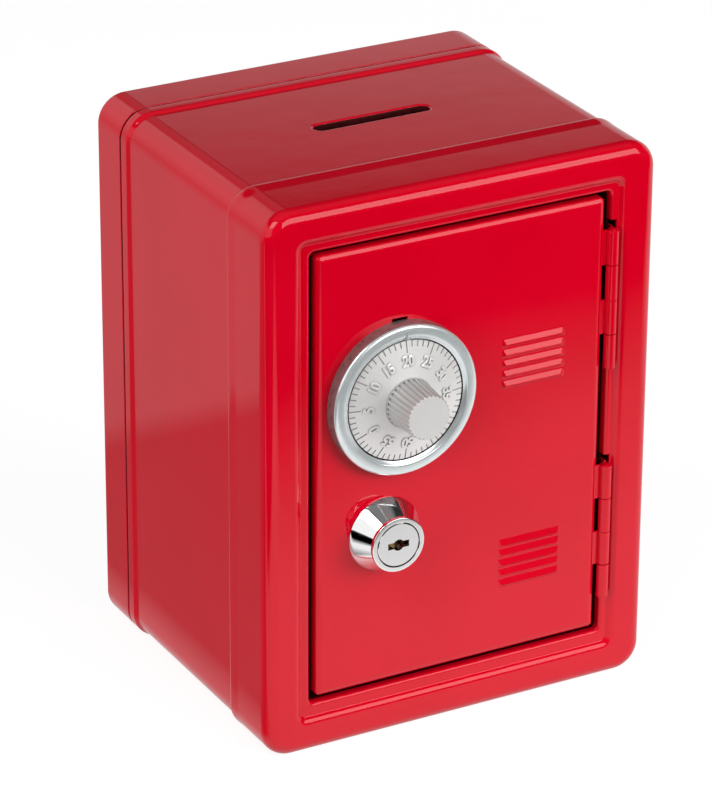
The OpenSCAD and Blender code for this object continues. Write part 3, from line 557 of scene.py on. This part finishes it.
def satin_dial():
    """Satin die-cast metal, pale and warm, with a fine sparkling grain. The knob's flank is less metallic,
    and its colour is darkened as painted shade.
    """
    n = Nodes("satin_die_cast")
    x, y, z = n.split(n.coords)
    across, along = n.maths("SUBTRACT", x, DIAL_X * MM), n.maths("SUBTRACT", z, DIAL_Z * MM)
    squares = n.maths("ADD", n.maths("MULTIPLY", across, across), n.maths("MULTIPLY", along, along))
    radius = n.maths("POWER", squares, 0.5)
    knob_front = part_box("dial_knob")[0].y
    flank = n.maths(
        "MULTIPLY",
        n.range(radius, (KNOB_FOOT_R + 0.05) * MM, (KNOB_FOOT_R + 0.15) * MM, 1.0, 0.0),
        n.range(y, knob_front + 0.1 * MM, knob_front + 0.25 * MM, 0.0, 1.0),
    )
    n.to("Metallic", n.range(flank, 0.0, 1.0, 0.45, 0.2))
    cloud = n.noise(90.0, 3.0)
    grain = n.noise(2600.0, 2.0, 0.7)
    pale = n.mottle(cloud, (0.84, 0.825, 0.81), (0.90, 0.885, 0.87))
    sparkle = n.range(grain, 0.30, 0.70, 0.0, 0.5)
    cast = n.mix(sparkle, pale, (0.74, 0.73, 0.72))
    # Painted shade: the knob's flank is darkened all the way round.
    cast = n.mix(flank, cast, (0.50, 0.495, 0.49))
    # Painted shade: the cast darkens in the marks' grooves, round the numerals and between the flutes.
    n.to("Base Color", n.painted_hollow_shade(cast, 0.0006, (0.24, 0.235, 0.23)))
    n.to("Roughness", n.range(grain, 0.3, 0.7, 0.30, 0.44))
    n.to("Normal", n.bump(grain, 0.00002, 0.3))
    return n.material


def chrome():
    """Chrome plating with faint wipe marks."""
    n = Nodes("chrome_plate").set(Metallic=1.0)
    wipe = n.noise(500.0, 5.0, 0.6, (1.0, 1.0, 4.0))
    n.to("Base Color", n.mottle(wipe, (0.88, 0.88, 0.88), (0.93, 0.93, 0.93)))
    n.to("Roughness", n.range(wipe, 0.35, 0.75, 0.04, 0.12))
    n.to("Normal", n.bump(n.noise(260.0, 1.0), 0.00002, 0.15))
    return n.material


def steel():
    """Plain bright steel with turning marks and slight darkening."""
    n = Nodes("bright_steel").set(Metallic=1.0)
    cloud = n.noise(300.0, 4.0, 0.6)
    n.to("Base Color", n.mottle(cloud, (0.42, 0.42, 0.43), (0.56, 0.56, 0.56)))
    grain = n.noise(2400.0, 3.0, 0.6)
    n.to("Roughness", n.range(grain, 0.3, 0.7, 0.28, 0.44))
    n.to("Normal", n.bump(grain, 0.00002, 0.3))
    return n.material


def brass():
    """Stamped brass, dark brown. The darkness is painted shade for the wafers deep in the keyway."""
    n = Nodes("stamped_brass").set(Metallic=1.0)
    cloud = n.noise(260.0, 5.0, 0.6)
    n.to("Base Color", n.mottle(cloud, (0.07, 0.045, 0.02), (0.14, 0.095, 0.04)))
    grain = n.noise(2000.0, 3.0, 0.6)
    n.to("Roughness", n.range(grain, 0.3, 0.7, 0.26, 0.45))
    n.to("Normal", n.bump(grain, 0.00002, 0.3))
    return n.material


def painted_gap_shade():
    """Painted shade for the deep gaps: near-black with a faint red tint, and matt."""
    n = Nodes("painted_gap_shade").set(Specular_IOR_Level=0.1)
    cloud = n.noise(800.0, 3.0)
    n.to("Base Color", n.mottle(cloud, (0.03, 0.0015, 0.002), (0.055, 0.003, 0.004)))
    n.to("Roughness", n.range(cloud, 0.3, 0.7, 0.55, 0.75))
    n.to("Normal", n.bump(cloud, 0.00002, 0.3))
    return n.material


def dull_zinc():
    """Darker, less shiny grey zinc, given to the ring's outer wall."""
    n = Nodes("dull_zinc").set(Metallic=0.7)
    cloud = n.noise(500.0, 4.0, 0.6)
    n.to("Base Color", n.mottle(cloud, (0.24, 0.24, 0.245), (0.36, 0.36, 0.365)))
    n.to("Roughness", n.range(cloud, 0.3, 0.7, 0.25, 0.40))
    n.to("Normal", n.bump(cloud, 0.00002, 0.3))
    return n.material


MATERIALS = {
    "red_paint": enamel(),
    "zinc": zinc(),
    "satin_dial": satin_dial(),
    "chrome": chrome(),
    "steel": steel(),
    "brass": brass(),
}
GAP_SHADE_PAINT = painted_gap_shade()
DULL_ZINC = dull_zinc()


def finish_piece(obj, body, slot_name, *stands_for):
    """Gives a piece its finish, its body and the nodes that it stands for."""
    obj.data.materials.clear()
    obj.data.materials.append(MATERIALS[slot_name])
    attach(obj, body)
    if stands_for:
        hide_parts(*stands_for)
    return obj


def darken(obj, where, finish=GAP_SHADE_PAINT):
    """Gives another material, by default the painted gap shade, to the faces whose middle lies where the test
    on (x, depth, z) holds.
    """
    obj.data.materials.append(finish)
    for face in obj.data.polygons:
        x, y, z = face.center / MM
        if where(x, y - FRONT_Y, z):
            face.material_index = len(obj.data.materials) - 1


# Body shell


def step_profile(offset):
    """The pressed step, as (grow, depth) from its outer line inwards. Offset 0 is the visible side."""
    slope = math.radians(STEP_SLOPE)
    drop = STEP_DEPTH - (STEP_OUTER_R + STEP_INNER_R) * (1 - math.cos(slope))
    run = (STEP_OUTER_R + STEP_INNER_R) * math.sin(slope) + drop / math.tan(slope)
    first = arc(0, STEP_OUTER_R, STEP_OUTER_R - offset, -90, -90 - STEP_SLOPE)
    second = arc(-run, STEP_DEPTH - STEP_INNER_R, STEP_INNER_R + offset, 90 - STEP_SLOPE, 90)
    return first + second


def build_front_frame():
    roll_d = FRAME_D - REAR_ROLL_R * math.sin(math.radians(REAR_ROLL_TURN))
    bend = (OPEN_BEND_R, STEP_DEPTH + OPEN_BEND_R)
    front_u = -REAR_FLARE - FRONT_EDGE_R
    rings = [(BODY, u, d) for u, d in arc(-REAR_ROLL_R, roll_d, REAR_ROLL_R, REAR_ROLL_TURN, 0, 6)]
    for t in FLARE_SHARES[1:]:
        rings.append((BODY, -REAR_FLARE * ease(t), roll_d - REAR_FLARE_L * t))
    rings += [(BODY, u, d) for u, d in arc(front_u, FRONT_EDGE_R, FRONT_EDGE_R, 0, -90)]
    rings += [(STEP, u, d) for u, d in step_profile(0)]
    rings += [(OPENING, u, d) for u, d in arc(*bend, OPEN_BEND_R, -90, -180)]
    rings += [(OPENING, 0, DARK_D), (OPENING, 0, FLANGE_D), (OPENING, SHEET_T, FLANGE_D)]
    rings += [(OPENING, u, d) for u, d in arc(*bend, OPEN_BEND_R - SHEET_T, -180, -90, 3)]
    rings += [(STEP, u, d) for u, d in reversed(step_profile(SHEET_T))]
    rings += [(BODY, u, d) for u, d in arc(front_u, FRONT_EDGE_R, FRONT_EDGE_R - SHEET_T, -90, 0)]
    rings += [(BODY, -REAR_FLARE - SHEET_T, FRAME_D)]
    bm = bmesh.new()
    loft(bm, [sheet_ring(*ring) for ring in rings], closed=True)
    obj = new_piece("front_pressing", bm)
    for z in HINGE_ZS:
        bottom = z - STACK_L / 2 - CUTOUT_BELOW
        top = z + STACK_L / 2 + CUTOUT_ABOVE
        cut_away(obj, box_cutter(at(CUTOUT_X[0], -1, bottom), at(CUTOUT_X[1], CUTOUT_D, top)))
    finish_piece(obj, "safe_body", "red_paint", "front_frame")
    # Painted shade: the opening's flange walls deep in the door gap are near-black.
    darken(obj, lambda x, d, z: DARK_D < d <= FLANGE_D and outside(OPENING, x, z) < 1)
    return obj


def build_sleeve():
    inner = -SLEEVE_INSET - SHEET_T
    profile = [
        (inner, SLEEVE_START_D),
        (-SLEEVE_INSET, SLEEVE_START_D),
        (-SLEEVE_INSET, FRAME_D),
        (-SLEEVE_INSET, FLARE_D - 1),
    ]
    profile += [(-SLEEVE_INSET + SLEEVE_INSET * ease(t), FLARE_D + FLARE_RUN * t) for t in FLARE_SHARES]
    profile += arc(-LIP_EDGE_R, LIP_END_D - LIP_EDGE_R, LIP_EDGE_R, 0, 90, 3)
    profile += [(-SHEET_T, LIP_END_D)]
    for t in reversed(FLARE_SHARES):
        profile.append((-SHEET_T - SLEEVE_INSET * (1 - ease(t)), FLARE_D + FLARE_RUN * t))
    bm = bmesh.new()
    loft(bm, [sheet_ring(BODY, u, d) for u, d in profile], closed=True)
    obj = new_piece("sleeve", bm)
    top = BODY_H - SLEEVE_INSET
    points = [at(x, SLOT_D + y, top) for x, y in stadium(SLOT_L + 2 * SLOT_BEND_R, SLOT_W + 2 * SLOT_BEND_R)]
    cut_away(obj, prism_cutter(points, -3, 3))
    return finish_piece(obj, "safe_body", "red_paint", "body_sleeve")


def build_slot_edge():
    """Turned-in edge of the coin slot, as a ring around the slot."""
    top = BODY_H - SLEEVE_INSET
    outer = arc(SLOT_BEND_R, SLOT_BEND_R, SLOT_BEND_R, -90, -180, 8)
    inner = arc(SLOT_BEND_R, SLOT_BEND_R, SLOT_BEND_R - SHEET_T, -180, -90, 4)
    profile = outer + [(0, SLOT_EDGE_D), (SHEET_T, SLOT_EDGE_D)] + inner
    rings = []
    for r, d in profile:
        rings.append([at(x, SLOT_D + y, top - d) for x, y in stadium(SLOT_L + 2 * r, SLOT_W + 2 * r)])
    bm = bmesh.new()
    loft(bm, rings, closed=True)
    obj = finish_piece(new_piece("coin_slot_edge", bm), "safe_body", "red_paint")
    # Painted shade: the turned-in edge is near-black below its top, deep in the coin slot.
    darken(obj, lambda x, d, z: z < top - SLOT_DARK_DROP)
    return obj


def build_back_shell():
    inner = -SPIGOT_INSET - SHEET_T
    seam_in_r = SEAM_BEND_R - SHEET_T
    rear_in_r = REAR_EDGE_R - SHEET_T
    profile = arc(-REAR_EDGE_R, BODY_D - REAR_EDGE_R, REAR_EDGE_R, 90, 0)
    profile += arc(-SEAM_BEND_R, BACK_START_D + SEAM_BEND_R, SEAM_BEND_R, 0, -90)
    profile += [(-SPIGOT_INSET, BACK_START_D), (-SPIGOT_INSET, SPIGOT_START_D), (inner, SPIGOT_START_D)]
    profile += [(inner, BACK_START_D + SHEET_T)]
    profile += arc(-SEAM_BEND_R, BACK_START_D + SEAM_BEND_R, seam_in_r, -90, 0, 3)
    profile += arc(-REAR_EDGE_R, BODY_D - REAR_EDGE_R, rear_in_r, 0, 90)
    bm = bmesh.new()
    loft(bm, [sheet_ring(BODY, u, d) for u, d in profile], closed=False)
    obj = finish_piece(new_piece("back_pressing", bm), "safe_body", "red_paint", "back_shell")
    # Painted shade: the spigot and the seam's front wall are near-black, so the seam shows as a dark line.
    darken(obj, lambda x, d, z: d < BACK_START_D + 0.02)
    return obj


# Door


def soft_least(a, b, blend=LOUVER_BLEND):
    """The lesser of two numbers, rounded where they meet, and never below 0."""
    h = max(blend - abs(a - b), 0.0) / blend
    return max(min(a, b) - h * h * blend / 4, 0.0)


def louver_height(x, z):
    """Height of the pressed ribs above the door's face: a long flat slope above a short, steep one."""
    for group_z in LOUVER_ZS:
        for index in range(LOUVER_COUNT):
            up = z - group_z - (index - (LOUVER_COUNT - 1) / 2) * LOUVER_PITCH
            if abs(up) < LOUVER_W / 2:
                upper = (LOUVER_W / 2 - up) / (LOUVER_W / 2 + LOUVER_CREST)
                lower = (LOUVER_W / 2 + up) / (LOUVER_W / 2 - LOUVER_CREST)
                end = (LOUVER_L / 2 - abs(x - LOUVER_X)) / LOUVER_END
                return LOUVER_PROUD * soft_least(soft_least(upper, lower), max(end, 0.0))
    return 0.0


def grid_lines(low, high, fine_low, fine_high, fine):
    """Places from low to high, fine between each pair of fine_low and fine_high and coarse elsewhere."""
    lines = [low]
    while lines[-1] < high - 1e-6:
        here = lines[-1]
        inside = any(a - 1e-6 <= here < b - 1e-6 for a, b in zip(fine_low, fine_high))
        nexts = [high, here + (fine if inside else COARSE_GRID)] + [a for a in fine_low if a > here + 1e-6]
        lines.append(min(nexts))
    return lines


def build_door():
    turn = math.radians(DOOR_SOFT_TURN)
    bend_w = DOOR_SOFT_R * math.sin(turn) + DOOR_EDGE_R * (1 - math.sin(turn))
    edge_d = DOOR_FACE_D + DOOR_SOFT_R * (1 - math.cos(turn)) + DOOR_EDGE_R * math.cos(turn)
    margin = bend_w + LOUVER_MARGIN
    face = (DOOR_MID_X - DOOR_W / 2 + margin, DOOR_MID_X + DOOR_W / 2 - margin)
    tall = (DOOR_MID_Z - DOOR_H / 2 + margin, DOOR_MID_Z + DOOR_H / 2 - margin)
    half_l = LOUVER_L / 2 + LOUVER_MARGIN
    half_h = (LOUVER_COUNT - 1) / 2 * LOUVER_PITCH + LOUVER_W / 2 + LOUVER_MARGIN
    groups = sorted(LOUVER_ZS)
    xs = grid_lines(*face, [LOUVER_X - half_l], [LOUVER_X + half_l], FINE_GRID[0])
    zs = grid_lines(*tall, [z - half_h for z in groups], [z + half_h for z in groups], FINE_GRID[1])
    bm = bmesh.new()
    heights = {(x, z): louver_height(x, z) for x in xs for z in zs}
    edges = []
    for inside in (False, True):
        rows = []
        for z in zs:
            rows.append([bm.verts.new(at(x, DOOR_FACE_D + SHEET_T * inside - heights[x, z], z)) for x in xs])
        for low, high in zip(rows, rows[1:]):
            for i in range(len(xs) - 1):
                bm.faces.new((low[i], low[i + 1], high[i + 1], high[i]))
        edges.append(rows[0] + [r[-1] for r in rows[1:-1]] + rows[-1][::-1] + [r[0] for r in rows[-2:0:-1]])
    profile = arc(-bend_w, DOOR_FACE_D + DOOR_SOFT_R, DOOR_SOFT_R, -90, DOOR_SOFT_TURN - 90, 8)
    profile += arc(-DOOR_EDGE_R, edge_d, DOOR_EDGE_R, DOOR_SOFT_TURN - 90, 0, 8)[1:]
    profile += [(0, DARK_D), (0, DOOR_END_D), (-SHEET_T, DOOR_END_D)]
    profile += arc(-DOOR_EDGE_R, edge_d, DOOR_EDGE_R - SHEET_T, 0, DOOR_SOFT_TURN - 90, 3)
    soft_in_r = DOOR_SOFT_R - SHEET_T
    profile += arc(-bend_w, DOOR_FACE_D + DOOR_SOFT_R, soft_in_r, DOOR_SOFT_TURN - 90, -90, 3)[1:]
    loops = [[bm.verts.new(p) for p in sheet_ring(DOOR, u, d)] for u, d in profile]
    for one, two in zip(loops, loops[1:]):
        join_rings(bm, one, two)
    bm.edges.ensure_lookup_table()
    for loop, edge in ((loops[0], edges[0]), (loops[-1], edges[1])):
        around = []
        for ring in (loop, edge):
            for i in range(len(ring)):
                v, w = ring[i], ring[(i + 1) % len(ring)]
                around.append(bm.edges.get((v, w)) or bm.edges.new((v, w)))
        bmesh.ops.triangle_fill(bm, edges=around, use_beauty=True)
    obj = new_piece("door_pressing", bm)
    cutters = []
    for side in (-1, 1):
        low, high = sorted((DIAL_Z + side * RING_TAB_IN, DIAL_Z + side * RING_TAB_OUT))
        near, far = at(DIAL_X - RING_TAB_W / 2, -1, low), at(DIAL_X + RING_TAB_W / 2, DOOR_FACE_D + 2, high)
        cutters.append(box_cutter(near, far))
    cut_away(obj, *cutters)
    finish_piece(obj, "door", "red_paint", "door_panel")
    # Painted shade: the door's turned-in sides deep in the gap are near-black.
    darken(obj, lambda x, d, z: d > DARK_D and outside(DOOR, x, z) > -0.1)
    return obj


def build_door_knuckles():
    """Rolled knuckles of each hinge that the door holds, each with its tab."""
    bm = bmesh.new()
    top = KNUCKLE_L - KNUCKLE_EDGE
    profile = [(KNUCKLE_BORE_R, 0), (KNUCKLE_R - KNUCKLE_EDGE, 0), (KNUCKLE_R, KNUCKLE_EDGE)]
    profile += [(KNUCKLE_R, top), (KNUCKLE_R - KNUCKLE_EDGE, KNUCKLE_L), (KNUCKLE_BORE_R, KNUCKLE_L)]
    angles = [2 * math.pi * i / KNUCKLE_STEPS for i in range(KNUCKLE_STEPS)]
    for hinge_z in HINGE_ZS:
        for index in DOOR_KNUCKLES:
            bottom = hinge_z - STACK_L / 2 + index * KNUCKLE_PITCH
            rings = []
            for a in angles:
                way = (math.cos(a), math.sin(a))
                rings.append([at(HINGE_X + r * way[0], HINGE_D + r * way[1], bottom + z) for r, z in profile])
            loft(bm, rings, closed=True)
            tab_low = at(DOOR_MID_X + DOOR_W / 2 - TAB_OVERLAP, DOOR_FACE_D + TAB_SINK, bottom)
            tab_high = at(HINGE_X - TAB_SHORT, DOOR_FACE_D + SHEET_T - TAB_SINK, bottom + KNUCKLE_L)
            add_box(bm, tab_low, tab_high)
    return finish_piece(new_piece("door_knuckles", bm), "door", "red_paint")


# Dial and lock


def build_dial_ring():
    """Turned ring: a bead round the dial, a rim that falls softly outwards, a rounded edge and an index."""
    front = DOOR_FACE_D - RING_H
    turn = math.radians(RING_SOFT_TURN)
    soft_end = RING_FLAT_R[1] + RING_SOFT_R * math.sin(turn)
    soft_drop = RING_SOFT_R * (1 - math.cos(turn))
    edge_r = (RING_R - soft_end) / (1 - math.sin(turn))
    edge_x, edge_d = RING_R - edge_r, front + soft_drop + edge_r * math.cos(turn)
    bead_x = RING_FLAT_R[0] - RING_SOFT_R / 3 * math.sin(turn)
    bead_drop = RING_SOFT_R / 3 * (1 - math.cos(turn))
    bead_mid = (bead_x + RING_BEAD_R * math.sin(turn), front + bead_drop + RING_BEAD_R * math.cos(turn))
    profile = [(RING_INNER_R, DOOR_FACE_D), (RING_INNER_R, front + RING_SEAT_D)]
    profile += arc(*bead_mid, RING_BEAD_R, RING_BEAD_START, 270 - RING_SOFT_TURN, 8)
    inner_r = RING_SOFT_R / 3
    profile += arc(RING_FLAT_R[0], front + inner_r, inner_r, 270 - RING_SOFT_TURN, 270, 4)[1:]
    profile += arc(RING_FLAT_R[1], front + RING_SOFT_R, RING_SOFT_R, -90, RING_SOFT_TURN - 90, 6)
    profile += arc(edge_x, edge_d, edge_r, RING_SOFT_TURN - 90, 0, 12)[1:]
    profile += [(RING_R, DOOR_FACE_D)]
    bm = bmesh.new()
    lathe(bm, profile, DIAL_X, DIAL_Z, RING_STEPS)
    sections = []
    for z, half, rise in (
        (RING_INNER_R + 0.2, INDEX_W / 2, INDEX_RISE),
        (INDEX_END_R, INDEX_W / 4, INDEX_RISE),
        (INDEX_TIP_R, INDEX_TIP_W / 2, -INDEX_TIP_SINK),
    ):
        points = ((0, front - rise), (half, front + RING_SEAT_D), (-half, front + RING_SEAT_D))
        sections.append([at(DIAL_X + x, d, DIAL_Z + z) for x, d in points])
    loft(bm, sections, closed=False)
    obj = finish_piece(new_piece("dial_ring_turned", bm, 25), "door", "zinc", "dial_ring")

    def radius(x, z):
        return math.hypot(x - DIAL_X, z - DIAL_Z)

    # Painted shade: the ring's inner wall beside the dial is near-black.
    darken(obj, lambda x, d, z: radius(x, z) < RING_INNER_R + 0.02 and d > front + RING_SEAT_D)
    darken(obj, lambda x, d, z: radius(x, z) > RING_R - 0.12 and d > edge_d - 1, DULL_ZINC)
    return obj


def build_numbers():
    """Raised numerals of the dial, every five marks, with their tops outward."""
    face = DOOR_FACE_D - DIAL_FACE_H
    cone = math.atan(DIAL_RISE / (DIAL_RIM_R - KNOB_FOOT_R))
    parts = []
    for step in range(NUMBER_COUNT):
        text = bpy.data.curves.new("number", "FONT")
        text.body = str((TOP_NUMBER + NUMBER_STEP * step) % (NUMBER_STEP * NUMBER_COUNT))
        text.align_x = "CENTER"
        text.align_y = "CENTER"
        text.size = NUMBER_H * MM / FONT_CAPITAL
        text.extrude = NUMBER_RISE * MM / 2
        text.offset = NUMBER_EDGE * MM
        text.bevel_depth = NUMBER_BEVEL * MM
        text.bevel_resolution = 1
        text.space_character = NUMBER_SPACING
        obj = new_object("number", text)
        round_by = math.radians(360 * step / NUMBER_COUNT)
        a = math.radians(90) - round_by
        turn = Matrix.Rotation(math.radians(90), 4, "X") @ Matrix.Rotation(-round_by, 4, "Z")
        turn = turn @ Matrix.Rotation(-cone, 4, "X") @ Matrix.Scale(NUMBER_NARROW, 4, (1, 0, 0))
        depth = face - (DIAL_RIM_R - NUMBER_R) * math.tan(cone) - NUMBER_RISE / 2
        place = at(DIAL_X + NUMBER_R * math.cos(a), depth, DIAL_Z + NUMBER_R * math.sin(a))
        obj.matrix_world = Matrix.Translation(place) @ turn
        bpy.context.view_layer.update()
        mesh = bpy.data.meshes.new_from_object(obj.evaluated_get(bpy.context.evaluated_depsgraph_get()))
        mesh.transform(obj.matrix_world)
        parts.append(mesh)
        bpy.data.objects.remove(obj)
    bm = bmesh.new()
    for mesh in parts:
        bm.from_mesh(mesh)
        bpy.data.meshes.remove(mesh)
    bmesh.ops.remove_doubles(bm, verts=bm.verts, dist=1e-7)
    return finish_piece(new_piece("dial_numbers", bm), "dial", "satin_dial")


def build_lock_housing():
    rim_d = DOOR_FACE_D - LOCK_RIM_T
    neck_d = DOOR_FACE_D - LOCK_NECK_H
    front = DOOR_FACE_D - LOCK_H
    head_back = front + LOCK_HEAD_T
    seat_d = front + PLUG_FACE_T
    edge, back_edge, fillet = LOCK_EDGE_R, LOCK_BACK_EDGE_R, LOCK_NECK_FILLET
    profile = [(PLUG_HOLE_R, BARREL_END_D), (PLUG_HOLE_R, seat_d), (PLUG_FACE_HOLE_R, seat_d)]
    profile += [(PLUG_FACE_HOLE_R, front + PLUG_FACE_CHAMFER), (PLUG_FACE_HOLE_R + PLUG_FACE_CHAMFER, front)]
    profile += arc(LOCK_HEAD_R - edge, front + edge, edge, -90, 0, 6)
    profile += arc(LOCK_HEAD_R - back_edge, head_back - back_edge, back_edge, 0, 90, 3)
    profile += [(LOCK_NECK_R + fillet, head_back), (LOCK_NECK_R, head_back + fillet), (LOCK_NECK_R, neck_d)]
    cone_run = LOCK_BASE_R - LOCK_NECK_R
    cone_drop = rim_d - neck_d
    for i in range(1, LOCK_CONE_STEPS):
        t = i / LOCK_CONE_STEPS
        profile.append((LOCK_NECK_R + cone_run * t, neck_d + cone_drop * t))
    profile += [(LOCK_BASE_R - 0.1, rim_d - 0.1), (LOCK_BASE_R, rim_d + 0.08), (LOCK_BASE_R, DOOR_FACE_D)]
    profile += [(BARREL_R, DOOR_FACE_D), (BARREL_R, BARREL_END_D)]
    bm = bmesh.new()
    lathe(bm, profile, LOCK_X, LOCK_Z, LOCK_STEPS)
    obj = finish_piece(new_piece("lock_body", bm, 25), "door", "chrome", "lock_housing")
    wall_r = PLUG_FACE_HOLE_R + 0.06
    # Painted shade: the wall of the face hole round the plug is near-black.
    darken(obj, lambda x, d, z: math.hypot(x - LOCK_X, z - LOCK_Z) < wall_r and d > front + 0.1)
    return obj


# Scene


def dress_cad_nodes():
    """Keeps the other CAD nodes and gives each its slot's finish, but gives the hinge pins red paint."""
    slots = {row["node"]: row["material_slot"] for row in frame["record"]["subparts"]}
    for name, obj in frame["nodes"].items():
        if obj.hide_render:
            continue
        finish = "red_paint" if name.endswith("hinge_pin") else slots[name]
        obj.data.materials.clear()
        obj.data.materials.append(MATERIALS[finish])


def build_floor():
    """Pale floor. Seen directly it is white with the object's shadow. Gloss sees the same paper, which ends
    in front of the object and carries a painted shadow on its left, deepest beside it."""
    reach = PAPER_REACH
    corners = [(-reach, -reach, 0), (reach, -reach, 0), (reach, reach, 0), (-reach, reach, 0)]
    mesh = bpy.data.meshes.new("floor")
    mesh.from_pydata(corners, [], [(0, 1, 2, 3)])
    floor = new_object("floor", mesh)
    n = Nodes("floor_paper")
    tree = n.tree
    tree.nodes.remove(n.bsdf)
    x, y, _ = n.split(n.coords)
    edge = n.maths("ADD", y, n.maths("ADD", *(n.range(x, *swing) for swing in PAPER_SWINGS)))
    front = n.maths("ADD", *(n.range(edge, *fade) for fade in PAPER_FADES))
    beside = n.maths("ADD", n.range(x, *PAPER_LEFT_X), n.range(y, *PAPER_SIDE_Y))
    front = n.maths("MULTIPLY", front, n.maths("MINIMUM", beside, 1.0))
    # Painted shadow: gloss sees the paper darkened left of the object, deepest beside it.
    near = n.maths("MULTIPLY", n.range(y, *SHADE_BACK_Y, 1.0, 0.0), n.range(y, *SHADE_FRONT_Y))
    far = n.maths("MULTIPLY", n.range(y, *SHADE_BACK_Y, 0.0, 1.0), SHADE_BACK)
    depth = n.maths("ADD", n.range(x, *SHADE_DEPTH_X), n.range(y, *SHADE_DEPTH_Y))
    shade_level = n.maths("ADD", n.maths("MULTIPLY", near, depth), far)
    painted_shadow = n.maths("MULTIPLY", n.range(x, *SHADE_X), shade_level)
    paper = n.maths("MULTIPLY", front, n.maths("SUBTRACT", 1.0, painted_shadow))
    path = tree.nodes.new("ShaderNodeLightPath")
    camera_ray = path.outputs["Is Camera Ray"]
    mirrored = n.maths("MAXIMUM", path.outputs["Is Glossy Ray"], path.outputs["Is Transmission Ray"])
    seen = n.maths("MAXIMUM", camera_ray, mirrored)
    level = n.maths("MAXIMUM", n.maths("MULTIPLY", paper, PAPER_IN_GLOSS), camera_ray)
    bounce = tree.nodes.new("ShaderNodeBsdfDiffuse")
    n.link(n.mix(paper, PAPER_DARK, PAPER_PALE), bounce, "Color")
    shadow = tree.nodes.new("ShaderNodeBsdfDiffuse")
    n.link(n.mix(level, (0.0, 0.0, 0.0), SHADOW_PALE), shadow, "Color")
    glow = tree.nodes.new("ShaderNodeEmission")
    n.link(n.maths("MULTIPLY", level, PAPER_GLOW), glow, "Strength")
    sheet = tree.nodes.new("ShaderNodeAddShader")
    tree.links.new(shadow.outputs[0], sheet.inputs[0])
    tree.links.new(glow.outputs[0], sheet.inputs[1])
    choose = tree.nodes.new("ShaderNodeMixShader")
    n.link(seen, choose, 0)
    tree.links.new(bounce.outputs[0], choose.inputs[1])
    tree.links.new(sheet.outputs[0], choose.inputs[2])
    out = next(node for node in tree.nodes if node.type == "OUTPUT_MATERIAL")
    tree.links.new(choose.outputs[0], out.inputs["Surface"])
    mesh.materials.append(n.material)


def build_world():
    """White to the camera. Gloss sees a pale backdrop behind the object, taller on the left, a white wall on
    the left and a dim studio elsewhere. Diffuse light comes evenly from all round."""
    world = bpy.data.worlds.new("studio")
    bpy.context.scene.world = world
    world.use_nodes = True
    n = Nodes(world)
    background = n.tree.nodes["Background"]
    background.inputs["Color"].default_value = (1, 1, 1, 1)
    x, y, z = n.split(n.tree.nodes.new("ShaderNodeTexCoord").outputs["Generated"])
    top = n.range(z, *LEFT_BACKDROP_Z, 1.0, 0.0)
    wing = n.maths("MULTIPLY", n.range(x, *RIGHT_WING_X, RIGHT_WING, 0.0), top)
    right = n.maths("MAXIMUM", n.range(z, *RIGHT_BACKDROP_Z, RIGHT_BACKDROP, CEILING), wing)
    foot = LEFT_FOOT_SHARE * LEFT_BACKDROP
    left = n.maths("MULTIPLY", n.range(z, *LEFT_FOOT_Z, foot, LEFT_BACKDROP), top)
    back = n.blend(n.range(x, *RIGHT_SIDE_X, 0.0, 1.0), right, left)
    behind = n.range(y, *BEHIND_Y, 0.0, 1.0)
    wall = n.maths("MULTIPLY", n.range(y, *BEHIND_Y, 1.0, 0.0), top)
    wall = n.maths("MULTIPLY", n.range(x, *LEFT_WALL_X, LEFT_WALL, 0.0), wall)
    wall = n.maths("MULTIPLY", wall, n.range(z, *LEFT_WALL_Z, 0.0, 1.0))
    above = n.range(z, *CEILING_TOP_Z, CEILING, CEILING_TOP)
    studio = n.maths("MAXIMUM", n.maths("MAXIMUM", n.maths("MULTIPLY", behind, back), wall), above)
    path = n.tree.nodes.new("ShaderNodeLightPath")
    seen = n.maths("MAXIMUM", path.outputs["Is Glossy Ray"], path.outputs["Is Transmission Ray"])
    lit = n.blend(seen, studio, WORLD_FILL)
    n.link(n.maths("MAXIMUM", lit, path.outputs["Is Camera Ray"]), background, "Strength")


def area_lamp(name, turn, rise, far, wide, high, power, in_gloss):
    """Soft box at a bearing and an elevation in degrees and a distance in metres from the object's middle."""
    turn, rise = math.radians(turn), math.radians(rise)
    middle = Vector((0, 0, BODY_H / 2 * MM))
    away = Vector((math.sin(turn) * math.cos(rise), -math.cos(turn) * math.cos(rise), math.sin(rise)))
    data = bpy.data.lights.new(name, "AREA")
    data.shape = "RECTANGLE"
    data.size = wide
    data.size_y = high
    data.energy = power
    lamp = new_object(name, data)
    lamp.visible_glossy = in_gloss
    lamp.location = middle + away * far
    lamp.rotation_mode = "QUATERNION"
    lamp.rotation_quaternion = (-away).to_track_quat("-Z", "Y")


def build_camera():
    data = bpy.data.cameras.new("camera")
    data.lens = CAMERA_LENS
    data.sensor_width = CAMERA_SENSOR
    data.clip_start, data.clip_end = CAMERA_CLIP
    camera = new_object("camera", data)
    forward = (CAMERA_AIM - CAMERA_AT).normalized()
    level = forward.cross(Vector((0, 0, 1))).normalized()
    up = level.cross(forward)
    right = level * math.cos(CAMERA_ROLL) + up * math.sin(CAMERA_ROLL)
    up = right.cross(forward)
    turn = Matrix((right, up, -forward)).transposed()
    camera.rotation_mode = "QUATERNION"
    camera.rotation_quaternion = turn.to_quaternion()
    camera.location = CAMERA_AT
    bpy.context.scene.camera = camera


build_front_frame()
build_sleeve()
build_slot_edge()
build_back_shell()
build_door()
build_door_knuckles()
build_dial_ring()
build_numbers()
build_lock_housing()
dress_cad_nodes()
build_floor()
build_world()
for lamp_row in LAMPS:
    area_lamp(*lamp_row)
build_camera()
bpy.context.scene.view_settings.view_transform = "Standard"

bpy.context.view_layer.update()
